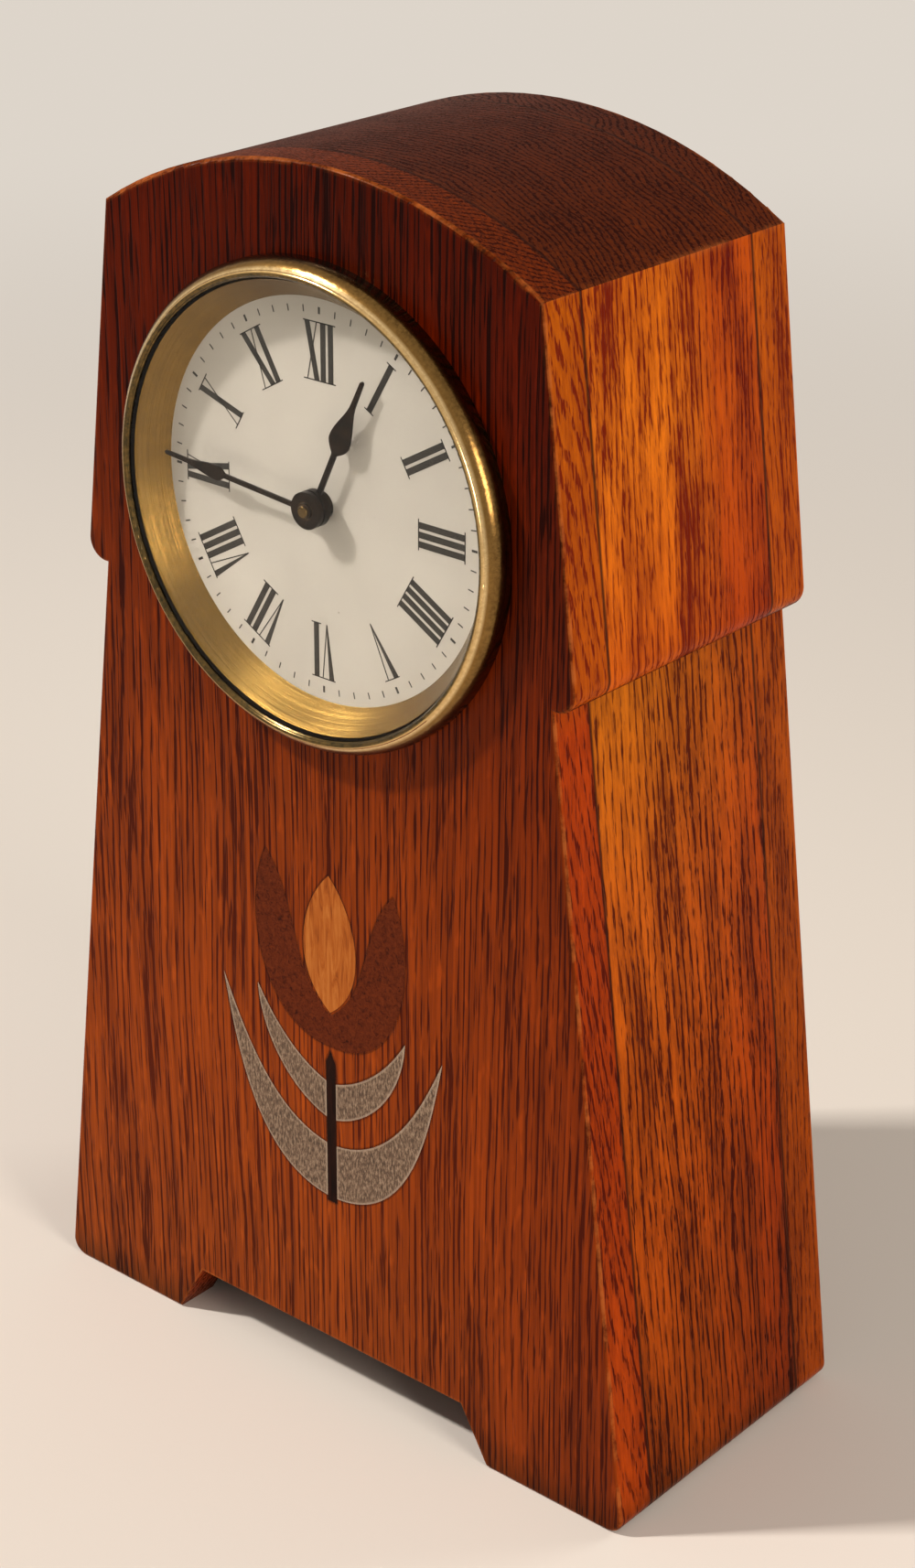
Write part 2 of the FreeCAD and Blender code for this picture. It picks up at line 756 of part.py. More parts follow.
def build_bezel():
    """The turned brass bezel, its flat glass and the sloping sight ring behind the glass."""
    glass_front = -bezel_proud + bezel_lip_depth
    glass_back = glass_front + glass_thickness
    wall_bore = glass_radius + glass_gap
    skirt_bore = flange_radius + bezel_wall_gap
    skirt_top = -flange_thickness - bezel_wall_gap
    flank_start = -bezel_skirt_height - bezel_wall_gap
    nose_outer = bezel_nose_radius + bezel_nose_width
    nose_back = -bezel_proud + bezel_cheek
    mid_radius = (bezel_radius + nose_outer) / 2 + bezel_belly
    mid_depth = (flank_start + nose_back) / 2 - bezel_belly
    x, z = on_dial(centre_at)

    def spot(radius, depth):
        return at(x + radius, depth, z)

    nose_inner = bezel_nose_radius - bezel_nose_width
    edges = [Part.makeLine(spot(bezel_radius, 0), spot(bezel_radius, flank_start)),
             Part.Arc(spot(bezel_radius, flank_start), spot(mid_radius, mid_depth),
                      spot(nose_outer, nose_back)).toShape(),
             Part.Arc(spot(nose_outer, nose_back), spot(bezel_nose_radius, -bezel_proud),
                      spot(nose_inner, nose_back)).toShape(),
             Part.makeLine(spot(nose_inner, nose_back), spot(bezel_lip_radius, nose_back + bezel_cheek / 2)),
             Part.makeLine(spot(bezel_lip_radius, nose_back + bezel_cheek / 2),
                           spot(bezel_lip_radius, glass_front)),
             Part.makeLine(spot(bezel_lip_radius, glass_front), spot(wall_bore, glass_front)),
             Part.makeLine(spot(wall_bore, glass_front), spot(wall_bore, skirt_top)),
             Part.makeLine(spot(wall_bore, skirt_top), spot(skirt_bore, skirt_top)),
             Part.makeLine(spot(skirt_bore, skirt_top), spot(skirt_bore, 0)),
             Part.makeLine(spot(skirt_bore, 0), spot(bezel_radius, 0))]
    face = Part.Face(Part.Wire(edges))
    save("bezel", face.revolve(at(x, 0, z), V(0, 1, 0), 360))
    save("bezel_glass", rod(centre_at, glass_front, glass_back, glass_radius))
    # The sight ring runs from a flange against the glass down to the dial
    mouth = sight_mouth_radius
    throat = sight_throat_radius
    profile = [(sight_flange_radius, glass_back), (mouth, glass_back), (throat, dial_face),
               (throat + sight_thickness, dial_face), (mouth + sight_thickness, glass_back + sight_thickness),
               (sight_flange_radius, glass_back + sight_thickness)]
    save("sight_ring", turned(centre_at, profile))


def build_dial():
    """The enamelled dial, the brass plate that carries it and the posts behind that plate."""
    save("dial", tube(centre_at, dial_face, dial_back, dial_radius, dial_hole_radius))
    save("dial_plate", tube(centre_at, dial_back, dial_plate_back, dial_plate_radius, dial_hole_radius))
    posts = [rod(polar(dial_post_circle, angle), dial_plate_back, front_plate_front, dial_post_radius)
             for angle in dial_post_angles]
    save("dial_posts", Part.makeCompound(posts))


# The hands

def hand_outline(length, blade_start, blade_widest, blade_width, stem_width):
    """One side of a pear-shaped hand as distances along it and half widths."""
    stem = stem_width / 2
    full = blade_width / 2
    neck = stem * hand_neck_share
    neck_at = blade_widest + (length - blade_widest) * hand_neck_place
    side = [(hand_boss_radius / 2, stem)]
    for step in range(hand_facets + 1):
        share = step / hand_facets
        along = blade_start + (blade_widest - blade_start) * share
        side.append((along, stem + (full - stem) * math.sin(share * math.pi / 2)))
    for step in range(1, hand_facets + 1):
        share = step / hand_facets
        along = blade_widest + (neck_at - blade_widest) * share
        side.append((along, neck + (full - neck) * (1 + math.cos(share * math.pi)) / 2))
    tip = hand_tip_width / 2
    side.extend([(length - tip, tip), (length - tip * 0.3, tip * 0.75), (length, tip * 0.3)])
    return side


def hand(sizes, angle, lift, boss_back, boss_front, bore):
    """A flat steel hand with a thick round boss, pointing clockwise from twelve."""
    length, blade_start, blade_widest, blade_width, stem_width = sizes
    near = dial_face - lift - hand_thickness
    far = dial_face - lift
    turn = 90 - angle

    def place(along, across):
        first = polar(along, turn)
        second = polar(across, turn - 90)
        x, z = on_dial((first[0] + second[0], first[1] + second[1]))
        return at(x, near, z)

    side = hand_outline(length, blade_start, blade_widest, blade_width, stem_width)
    corners = [place(along, across) for along, across in side]
    corners.extend(place(along, -across) for along, across in reversed(side))
    blade = Part.Face(Part.makePolygon(corners + [corners[0]])).extrude(V(0, hand_thickness, 0))
    boss = rod(centre_at, boss_front, boss_back, hand_boss_radius)
    return fused([boss, blade]).cut(rod(centre_at, boss_front - overrun, boss_back + overrun, bore))


hour_bore = cannon_radius + running_clearance
hour_pipe_radius = hour_bore + hour_pipe_wall
dial_hole_radius = hour_pipe_radius + dial_hole_gap
hour_boss_back = dial_face - hour_hand_lift + (hour_boss_height - hand_thickness) / 2
hour_boss_front = hour_boss_back - hour_boss_height
minute_boss_back = dial_face - minute_hand_lift + (minute_boss_height - hand_thickness) / 2
minute_boss_front = minute_boss_back - minute_boss_height
hour_wheel_front = dial_plate_back + motion_air
hour_wheel_back = hour_wheel_front + motion_thickness
minute_wheel_back = front_plate_front - motion_air
minute_wheel_front = minute_wheel_back - motion_thickness
set_knob_front = back_plate_back + set_knob_setback
set_knob_back = set_knob_front + set_knob_length


def build_hands():
    """Both hands and the collet that holds them on the centre arbor."""
    hour_sizes = (hour_hand_length, hour_blade_start, hour_blade_widest, hour_blade_width, hour_stem_width)
    minute_sizes = (minute_hand_length, minute_blade_start, minute_blade_widest, minute_blade_width,
                    minute_stem_width)
    save("hour_hand", hand(hour_sizes, hour_hand_angle, hour_hand_lift, hour_boss_back, hour_boss_front,
                           hour_pipe_radius))
    save("minute_hand", hand(minute_sizes, minute_hand_angle, minute_hand_lift, minute_boss_back,
                             minute_boss_front, cannon_radius))
    save("hand_collet", tube(centre_at, minute_boss_front - collet_height, minute_boss_front,
                             collet_radius, centre_arbor_radius))


def build_motion_work():
    """Cannon pinion, minute wheel on its post, and hour wheel with the pipe of the hour hand."""
    minute_line, cannon_phase = mesh_phase(minute_post_at, centre_at, cannon_teeth)
    cannon_leaves = toothed(centre_at, cannon_teeth, minute_module, minute_wheel_front - motion_air / 2,
                            front_plate_front - motion_air / 2, True, cannon_phase)
    cannon_pipe = rod(centre_at, minute_boss_front, front_plate_front - motion_air / 2, cannon_radius)
    bore = rod(centre_at, minute_boss_front - overrun, front_plate_front + overrun, centre_arbor_radius)
    save("cannon_pinion", fused([cannon_leaves, cannon_pipe]).cut(bore))
    hour_line, minute_pinion_phase = mesh_phase(centre_at, minute_post_at, minute_pinion_teeth)
    wheel = toothed(minute_post_at, minute_wheel_teeth, minute_module, minute_wheel_front,
                    minute_wheel_back, False, minute_line)
    pinion = toothed(minute_post_at, minute_pinion_teeth, hour_module, hour_wheel_front - motion_air / 2,
                     minute_wheel_front, True, minute_pinion_phase)
    way = rod(minute_post_at, dial_back, front_plate_front, minute_post_radius + running_clearance)
    save("minute_wheel", fused([wheel, pinion]).cut(way))
    save("minute_post", rod(minute_post_at, hour_wheel_front - motion_air / 2,
                            front_plate_front + plate_thickness / 2, minute_post_radius))
    hour_disc = toothed(centre_at, hour_wheel_teeth, hour_module, hour_wheel_front, hour_wheel_back,
                        False, hour_line)
    pipe = rod(centre_at, hour_boss_front, hour_wheel_back, hour_pipe_radius)
    hour_way = rod(centre_at, hour_boss_front - overrun, hour_wheel_back + overrun, hour_bore)
    save("hour_wheel", fused([hour_disc, pipe]).cut(hour_way))


# The plates and what holds them

def foot_places():
    """Where the feet of the two cocks stand, with the hole that takes each screw."""
    balance_foot = polar(balance_foot_distance, balance_foot_angle, balance_at)
    escape_feet = [polar(escape_foot_distance, angle, escape_at) for angle in escape_foot_angles]
    return balance_foot, escape_feet


pivot_hole_radius = pivot_radius + running_clearance
centre_hole_radius = centre_arbor_radius + running_clearance
barrel_hole_radius = barrel_arbor_radius + running_clearance
click_at = polar(click_pivot_circle, click_angle, barrel_at)


def build_plates():
    """Front and back plates, the pillars between them and the screws that hold the back plate."""
    front = rod(centre_at, front_plate_front, front_plate_back, plate_radius)
    back = rod(centre_at, back_plate_front, back_plate_back, plate_radius)
    front_holes = []
    back_holes = []
    for place in (third_at, fourth_at, escape_at):
        front_holes.append((place, pivot_hole_radius))
    for place in (third_at, fourth_at, lever_at, balance_at):
        back_holes.append((place, pivot_hole_radius))
    for holes in (front_holes, back_holes):
        holes.append((centre_at, centre_hole_radius))
        holes.append((barrel_at, barrel_hole_radius))
    back_holes.append((escape_at, 2 * arbor_radius))
    balance_foot, escape_feet = foot_places()
    for place in [balance_foot, click_at] + escape_feet:
        back_holes.append((place, screw_shank_radius))
    for angle in pillar_angles:
        back_holes.append((polar(pillar_circle, angle), screw_shank_radius))
    for place, radius in front_holes:
        front = front.cut(rod(place, front_plate_front - overrun, front_plate_back + overrun, radius))
    post_hole = rod(minute_post_at, front_plate_front - overrun, front_plate_front + plate_thickness / 2,
                    minute_post_radius)
    save("front_plate", front.cut(post_hole))
    for place, radius in back_holes:
        back = back.cut(rod(place, back_plate_front - overrun, back_plate_back + overrun, radius))
    save("back_plate", back)
    pillars = []
    screws = []
    for angle in pillar_angles:
        place = polar(pillar_circle, angle)
        screw_end = back_plate_front - 2 * plate_thickness
        pillar = rod(place, front_plate_back, back_plate_front, pillar_radius)
        pillars.append(pillar.cut(rod(place, screw_end, back_plate_front + overrun, screw_shank_radius)))
        screws.append(slotted_screw(place, back_plate_back + screw_head_height, screw_head_height,
                                    screw_head_radius, screw_end, screw_shank_radius))
    save("plate_pillars", Part.makeCompound(pillars))
    save("pillar_screws", Part.makeCompound(screws))


# The barrel and the winding work

barrel_front = front_plate_back + barrel_front_setback
barrel_back = barrel_front + barrel_length
great_back = barrel_back + great_wheel_thickness
ratchet_front = back_plate_back + end_play
ratchet_back = ratchet_front + ratchet_thickness
key_hub_front = ratchet_back + end_play
key_hub_back = key_hub_front + key_hub_length


def build_barrel():
    """The spring barrel with its great wheel, the lid, the mainspring and the arbor."""
    great_line, _ = mesh_phase(barrel_at, centre_at, centre_pinion_teeth)
    hole = barrel_hole_radius
    cup = rod(barrel_at, barrel_front, barrel_back, barrel_radius)
    great = toothed(barrel_at, great_teeth, great_module, barrel_back, great_back, False, great_line)
    hollow = rod(barrel_at, barrel_front - overrun, barrel_back - barrel_wall, barrel_radius - barrel_wall)
    way = rod(barrel_at, barrel_front - overrun, great_back + overrun, hole)
    save("barrel", fused([cup, great]).cut(hollow).cut(way))
    save("barrel_cap", tube(barrel_at, barrel_front - barrel_cap_thickness, barrel_front,
                            barrel_radius, hole))
    spring_front = barrel_front + mainspring_play
    spring_back = barrel_back - barrel_wall - mainspring_play
    save("mainspring", spiral_strip(barrel_at, mainspring_inner_radius + mainspring_pitch / 4,
                                    mainspring_pitch, mainspring_thickness, 2 * mainspring_turns,
                                    spring_front, spring_back, barrel_angle))
    arbor = rod(barrel_at, front_plate_front, key_hub_back, barrel_arbor_radius)
    hub = rod(barrel_at, spring_front, spring_back, barrel_hub_radius)
    save("barrel_arbor", fused([arbor, hub]))


def build_winding():
    """Ratchet wheel, click with its screw and spring, and the folding-wing key."""
    points = []
    for tooth in range(ratchet_teeth):
        angle = 360.0 * tooth / ratchet_teeth + click_angle
        points.append(polar(ratchet_radius, angle, barrel_at))
        points.append(polar(ratchet_radius - ratchet_depth, angle + 330.0 / ratchet_teeth, barrel_at))
    wheel = prism(points, ratchet_front, ratchet_back)
    save("ratchet_wheel", wheel.cut(rod(barrel_at, ratchet_front - overrun, ratchet_back + overrun,
                                        barrel_arbor_radius)))
    tip = polar(ratchet_radius + click_gap + click_width / 2, click_angle + click_reach_angle, barrel_at)
    arm = capsule(click_at, tip, click_width / 2, ratchet_front, ratchet_back)
    nose = rod(tip, ratchet_front, ratchet_back, click_width / 2)
    click = fused([rod(click_at, ratchet_front, ratchet_back, click_radius + click_width / 2), arm, nose])
    click = click.cut(rod(barrel_at, ratchet_front - overrun, ratchet_back + overrun,
                          ratchet_radius + click_gap))
    save("click", click.cut(rod(click_at, ratchet_front - overrun, ratchet_back + overrun,
                                screw_shank_radius + running_clearance)))
    save("click_screw", slotted_screw(click_at, ratchet_back + end_play + screw_head_height,
                                      screw_head_height, screw_head_radius, back_plate_front,
                                      screw_shank_radius))
    outward = math.degrees(math.atan2(click_at[1] - barrel_at[1], click_at[0] - barrel_at[0]))
    foot = polar(click_radius + click_width + click_spring_gap, outward, click_at)
    end = polar(2 * click_radius + click_width, outward + 60, tip)
    spring = capsule(foot, end, click_spring_thickness / 2, back_plate_back,
                     back_plate_back + click_spring_height)
    pad = rod(foot, back_plate_back, back_plate_back + click_spring_height, click_spring_thickness * 2)
    save("click_spring", fused([spring, pad]))
    hub = rod(barrel_at, key_hub_front, key_hub_back, key_hub_radius)
    bore = rod(barrel_at, key_hub_front - overrun, key_hub_back, barrel_arbor_radius)
    wing_depth = key_hub_back + key_wing_radius + end_play
    stem = rod(barrel_at, key_hub_back, wing_depth, key_stem_radius)
    shapes = [hub.cut(bore), stem]
    x, z = on_dial(barrel_at)
    for side in (-1, 1):
        centre = at(x + side * key_wing_centre, wing_depth, z - key_wing_thickness / 2)
        wing = Part.makeCylinder(key_wing_radius, key_wing_thickness, centre, V(0, 0, 1))
        hole = Part.makeCylinder(key_wing_hole_radius, key_wing_thickness + 2 * overrun,
                                 centre - V(0, 0, overrun), V(0, 0, 1))
        shapes.append(wing.cut(hole))
    save("winding_key", fused(shapes))


# The going train

def wheel_on_arbor(centre, teeth, module, wheel_front, wheel_phase, arbor, leaves):
    """A crossed-out wheel on its arbor together with the pinion that drives it."""
    wheel_back = wheel_front + wheel_thickness
    disc = toothed(centre, teeth, module, wheel_front, wheel_back, False, wheel_phase)
    root = teeth * module / 2 - module * wheel_dedendum_share
    disc = crossed_out(disc, centre, root - rim_width, 3 * arbor_radius, wheel_front, wheel_back)
    return fused([disc, arbor, leaves])


def build_train():
    """Centre arbor, centre wheel, third wheel and fourth wheel."""
    clutch_back = back_plate_front - end_play
    clutch_front = clutch_back - washer_thickness
    arbor = rod(centre_at, minute_boss_front - collet_height - arbor_tip_height, set_knob_back,
                centre_arbor_radius)
    tip = rod(centre_at, minute_boss_front - collet_height - arbor_tip_height, minute_boss_front,
              centre_arbor_radius)
    tip_edge = [edge for edge in tip.Edges if edge.BoundBox.YMax < tip.BoundBox.YMin + end_play]
    rounded_tip = tip.makeFillet(arbor_tip_height * 0.8, tip_edge)
    shaft = rod(centre_at, minute_boss_front, set_knob_back, centre_arbor_radius)
    save("centre_arbor", fused([rounded_tip, shaft]).common(arbor))
    save("clutch_washer", tube(centre_at, clutch_front, clutch_back, washer_radius, centre_arbor_radius))

    pipe_back = clutch_front - end_play
    wheel_front = front_plate_back + centre_wheel_setback
    great_line, centre_pinion_phase = mesh_phase(barrel_at, centre_at, centre_pinion_teeth)
    centre_line, third_pinion_phase = mesh_phase(centre_at, third_at, third_pinion_teeth)
    pipe = rod(centre_at, wheel_front, pipe_back, centre_pipe_radius)
    leaves = toothed(centre_at, centre_pinion_teeth, great_module, barrel_back - pinion_overlap,
                     great_back + pinion_overlap, True, centre_pinion_phase)
    body = wheel_on_arbor(centre_at, centre_teeth, centre_module, wheel_front, centre_line, pipe, leaves)
    save("centre_wheel", body.cut(rod(centre_at, front_plate_back, back_plate_front, centre_hole_radius)))

    third_line, fourth_pinion_phase = mesh_phase(third_at, fourth_at, fourth_pinion_teeth)
    arbor = pinned_arbor(third_at, front_plate_front, back_plate_back)
    leaves = toothed(third_at, third_pinion_teeth, centre_module, front_plate_back + end_play,
                     wheel_front + wheel_thickness + pinion_overlap, True, third_pinion_phase)
    third_front = front_plate_back + third_wheel_setback
    save("third_wheel", wheel_on_arbor(third_at, third_teeth, third_module, third_front, third_line,
                                       arbor, leaves))

    fourth_line, escape_pinion_phase = mesh_phase(fourth_at, escape_at, escape_pinion_teeth)
    arbor = pinned_arbor(fourth_at, front_plate_front, back_plate_back)
    leaves = toothed(fourth_at, fourth_pinion_teeth, third_module, third_front - pinion_overlap,
                     third_front + wheel_thickness + pinion_overlap, True, fourth_pinion_phase)
    fourth_front = front_plate_back + fourth_wheel_setback
    save("fourth_wheel", wheel_on_arbor(fourth_at, fourth_teeth, fourth_module, fourth_front, fourth_line,
                                        arbor, leaves))

    escape_front = back_plate_back + escape_setback
    cock_front = back_plate_back + escape_cock_setback
    body = rod(escape_at, front_plate_back + end_play, cock_front - end_play, escape_arbor_radius)
    pivots = rod(escape_at, front_plate_front, cock_front + cock_thickness, pivot_radius)
    leaves = toothed(escape_at, escape_pinion_teeth, fourth_module, fourth_front - pinion_overlap,
                     fourth_front + wheel_thickness + pinion_overlap, True, escape_pinion_phase)
    points = []
    step = 360.0 / escape_teeth
    for tooth in range(escape_teeth):
        middle = tooth * step + balance_angle
        points.append(polar(escape_radius - escape_tooth_depth, middle - step / 2, escape_at))
        points.append(polar(escape_radius, middle + step / 8, escape_at))
        points.append(polar(escape_radius, middle + step / 4, escape_at))
    star = prism(points, escape_front, escape_front + escape_thickness)
    star = crossed_out(star, escape_at, escape_radius - 2 * escape_tooth_depth, 1.5 * arbor_radius,
                       escape_front, escape_front + escape_thickness)
    save("escape_wheel", fused([body, pivots, leaves, star]))


def build_escapement():
    """Pallet lever, balance with its hairspring, the cocks, their screws and the index."""
    near = back_plate_back + escape_setback
    far = near + escape_thickness
    pallet_radius = escape_radius + pallet_clearance + pallet_width / 2
    shapes = [rod(lever_at, near, far, lever_hub_radius)]
    for side in (-1, 1):
        pallet = polar(pallet_radius, balance_angle + side * pallet_half_angle, escape_at)
        shapes.append(capsule(lever_at, pallet, lever_width / 2, near, far))
        shapes.append(capsule(pallet, polar(pallet_width, balance_angle + side * 90, pallet),
                              pallet_width / 2, near, far))
    fork_reach = balance_distance - impulse_pin_offset - impulse_pin_radius - fork_gap
    fork_end = polar(fork_reach, balance_angle, lever_at)
    fork_root = polar(fork_reach - fork_length, balance_angle, lever_at)
    shapes.append(capsule(lever_at, fork_root, lever_width / 2, near, far))
    for side in (-1, 1):
        across = polar(side * fork_half_width, balance_angle + 90)
        horn_root = (fork_root[0] + across[0], fork_root[1] + across[1])
        horn_end = (fork_end[0] + across[0], fork_end[1] + across[1])
        shapes.append(capsule(horn_root, horn_end, lever_width / 3, near, far))
        shapes.append(capsule(fork_root, horn_root, lever_width / 3, near, far))
    wheel_way = rod(escape_at, near - overrun, far + overrun, escape_radius + pallet_clearance)
    lever = fused(shapes).cut(wheel_way)
    cock_front = back_plate_back + escape_cock_setback
    lever_arbor = fused([rod(lever_at, back_plate_back + end_play, cock_front - end_play, arbor_radius),
                         rod(lever_at, back_plate_front, cock_front + cock_thickness, pivot_radius)])
    save("lever", fused([lever, lever_arbor]))

    pins = []
    for side in (-1, 1):
        place = polar(fork_reach - 2 * fork_length, balance_angle, lever_at)
        across = polar(side * (lever_width / 2 + banking_radius + fork_gap), balance_angle + 90)
        pins.append(rod((place[0] + across[0], place[1] + across[1]), back_plate_back, far, banking_radius))
    save("banking_pins", Part.makeCompound(pins))

    wheel_front = back_plate_back + balance_setback
    wheel_back = wheel_front + balance_thickness
    balance_cock_front = back_plate_back + balance_cock_setback
    rim = tube(balance_at, wheel_front, wheel_back, balance_radius, balance_radius - balance_rim_width)
    reach = balance_radius - balance_rim_width / 2
    arm = capsule(polar(reach, 0, balance_at), polar(reach, 180, balance_at), balance_arm_width / 2,
                  wheel_front, wheel_back)
    shapes = [rim, arm.common(rod(balance_at, wheel_front, wheel_back, reach))]
    shapes.append(rod(balance_at, wheel_front, balance_cock_front - hairspring_air / 2, balance_hub_radius))
    shapes.append(rod(balance_at, back_plate_back + end_play, balance_cock_front - end_play,
                      balance_staff_radius))
    shapes.append(rod(balance_at, back_plate_front, balance_cock_front + cock_thickness, pivot_radius))
    roller_back = wheel_front
    shapes.append(rod(balance_at, roller_back - roller_thickness, roller_back, roller_radius))
    pin_place = polar(impulse_pin_offset, balance_angle + 180, balance_at)
    shapes.append(rod(pin_place, near, roller_back - roller_thickness / 2, impulse_pin_radius))
    mid = (wheel_front + wheel_back) / 2
    for screw in range(timing_screws):
        angle = 360.0 * (screw + 0.5) / timing_screws
        x, z = on_dial(polar(reach, angle, balance_at))
        heading = polar(1, angle)
        shapes.append(Part.makeCylinder(timing_screw_radius, balance_rim_width / 2 + timing_screw_length,
                                        at(x, mid, z), V(heading[0], 0, heading[1])))
    save("balance_wheel", fused(shapes))

    spring_back = balance_cock_front - hairspring_air
    save("hairspring", spiral_strip(balance_at, hairspring_inner_radius, hairspring_pitch,
                                    hairspring_thickness, 2 * hairspring_turns,
                                    spring_back - hairspring_height, spring_back, balance_foot_angle))

    balance_foot, escape_feet = foot_places()
    cock_back = balance_cock_front + cock_thickness
    bar = capsule(balance_foot, balance_at, cock_half_width, balance_cock_front, cock_back)
    foot = rod(balance_foot, back_plate_back, cock_back, cock_foot_radius)
    spring_reach = hairspring_inner_radius + hairspring_pitch * hairspring_turns
    stud_place = polar(spring_reach + hairspring_pitch + stud_radius, balance_foot_angle, balance_at)
    stud = rod(stud_place, spring_back - hairspring_height, balance_cock_front, stud_radius)
    cock = fused([bar, foot, stud])
    cock = cock.cut(rod(balance_at, balance_cock_front - overrun, cock_back + overrun, pivot_hole_radius))
    cock = cock.cut(rod(balance_foot, back_plate_back - overrun, cock_back + overrun, screw_shank_radius))
    save("balance_cock", cock)

    escape_back = cock_front + cock_thickness
    shapes = []
    for place in escape_feet:
        shapes.append(capsule(place, escape_at, cock_half_width, cock_front, escape_back))
        shapes.append(rod(place, back_plate_back, escape_back, cock_foot_radius))
    shapes.append(capsule(escape_at, lever_at, cock_half_width, cock_front, escape_back))
    cock = fused(shapes)
    for place in (escape_at, lever_at):
        cock = cock.cut(rod(place, cock_front - overrun, escape_back + overrun, pivot_hole_radius))
    for place in escape_feet:
        cock = cock.cut(rod(place, back_plate_back - overrun, escape_back + overrun, screw_shank_radius))
    save("escape_cock", cock)

    screws = [slotted_screw(balance_foot, cock_back + screw_head_height, screw_head_height,
                            cock_foot_radius, back_plate_front, screw_shank_radius)]
    for place in escape_feet:
        screws.append(slotted_screw(place, escape_back + screw_head_height, screw_head_height,
                                    cock_foot_radius, back_plate_front, screw_shank_radius))
    save("cock_screws", Part.makeCompound(screws))

    pointer_end = polar(index_length, index_angle, balance_at)
    ring = rod(balance_at, cock_back, cock_back + index_thickness, index_ring_radius)
    pointer = capsule(balance_at, pointer_end, index_width / 2, cock_back, cock_back + index_thickness)
    way = rod(balance_at, cock_back - overrun, cock_back + index_thickness + overrun, index_hole_radius)
    save("regulator_index", fused([ring, pointer]).cut(way))


def build_set_knob():
    """The fluted knob on the rear end of the centre arbor that sets the hands."""
    knob = tube(centre_at, set_knob_front, set_knob_back, set_knob_radius, centre_arbor_radius)
    for flute in range(set_knob_flutes):
        place = polar(set_knob_radius, 360.0 * flute / set_knob_flutes)
        knob = knob.cut(rod(place, set_knob_front - overrun, set_knob_back + overrun, set_knob_flute_radius))
    save("set_knob", knob)


# The back ring and its door

ring_back = case_back + ring_thickness
door_front = ring_back + door_gap
door_back = door_front + door_thickness
hinge_depth = ring_back + hinge_knuckle_radius + door_gap


def knuckle(low, high):
    """One tube of the hinge, on the hinge's upright axis."""
    return Part.makeCylinder(hinge_knuckle_radius, high - low,
                             at(-hinge_offset, hinge_depth, dial_height + low), V(0, 0, 1))


def hinge_hole(radius):
    reach = 1.5 * hinge_knuckle_length + hinge_gap
    return Part.makeCylinder(radius, 2 * (reach + overrun),
                             at(-hinge_offset, hinge_depth, dial_height - reach - overrun), V(0, 0, 1))


def build_back():
    """The brass ring on the back board, the domed door, its hinge pin, knob and all the screws."""
    half = hinge_knuckle_length / 2
    ring = tube(centre_at, case_back, ring_back, ring_radius, ring_opening_radius)
    shapes = [ring]
    for low, high in ((-3 * half - hinge_gap, -half - hinge_gap), (half + hinge_gap, 3 * half + hinge_gap)):
        leaf = Part.makeBox(2 * hinge_knuckle_radius, hinge_depth - ring_back + ring_thickness / 2, high - low,
                            at(-hinge_offset - hinge_knuckle_radius, ring_back - ring_thickness / 2,
                               dial_height + low))
        shapes.append(leaf)
        shapes.append(knuckle(low, high))
    ring = fused(shapes).cut(hinge_hole(hinge_pin_radius))
    for angle in wood_screw_angles:
        ring = ring.cut(rod(polar(wood_screw_circle, angle), case_back - overrun, ring_back + overrun,
                            wood_screw_radius))
    for angle in draw_screw_angles:
        ring = ring.cut(rod(polar(draw_screw_circle, angle), case_back - overrun, ring_back + overrun,
                            draw_screw_radius))
    save("back_ring", ring)

    flat = door_radius * door_flat_share
    profile = [(0, door_front + door_dome), (flat * 0.7, door_front + door_dome * 0.8), (flat, door_front),
               (door_radius, door_front), (door_radius, door_back), (flat, door_back),
               (flat * 0.7, door_back + door_dome * 0.8), (0, door_back + door_dome)]
    leaf = Part.makeBox(hinge_offset - door_radius + hinge_leaf_width, door_thickness, hinge_knuckle_length,
                        at(-hinge_offset, door_front, dial_height - half))
    near_tube = Part.makeCylinder(hinge_knuckle_radius, hinge_knuckle_length,
                                  at(-hinge_offset, hinge_depth, dial_height - half), V(0, 0, 1))
    door = fused([turned(centre_at, profile), leaf, near_tube])
    door = door.cut(hinge_hole(hinge_pin_radius + running_clearance))
    neck = rod((door_knob_place, 0), door_front, door_back + door_knob_height / 2, door_knob_neck_radius)
    save("back_door", door.cut(neck))
    reach = 3 * half + hinge_gap
    save("hinge_pin", Part.makeCylinder(hinge_pin_radius, 2 * reach,
                                        at(-hinge_offset, hinge_depth, dial_height - reach), V(0, 0, 1)))
    head = rod((door_knob_place, 0), door_back + door_knob_height / 2, door_back + door_dome + door_knob_height,
               door_knob_radius)
    rim = [edge for edge in head.Edges if edge.BoundBox.YMin > head.BoundBox.YMax - end_play]
    head = head.makeFillet(door_knob_radius / 3, rim)
    save("door_knob", fused([neck, head]))

    wood_screws = []
    for angle in wood_screw_angles:
        wood_screws.append(slotted_screw(polar(wood_screw_circle, angle), ring_back + wood_screw_head_height,
                                         wood_screw_head_height, wood_screw_head_radius,
                                         case_back - wood_screw_length, wood_screw_radius))
    save("ring_screws", Part.makeCompound(wood_screws))
    draw_screws = []
    for angle in draw_screw_angles:
        draw_screws.append(slotted_screw(polar(draw_screw_circle, angle), ring_back + draw_screw_head_height,
                                         draw_screw_head_height, draw_screw_head_radius,
                                         drum_length - draw_screw_length, draw_screw_radius))
    save("draw_screws", Part.makeCompound(draw_screws))


os.makedirs("parts", exist_ok=True)
build_case()
build_drum()
build_bezel()
build_dial()
build_hands()
build_motion_work()
build_plates()
build_barrel()
build_winding()
build_train()
build_escapement()
build_set_knob()
build_back()
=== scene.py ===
import math
from types import SimpleNamespace

import bpy
from mathutils import Matrix, Vector


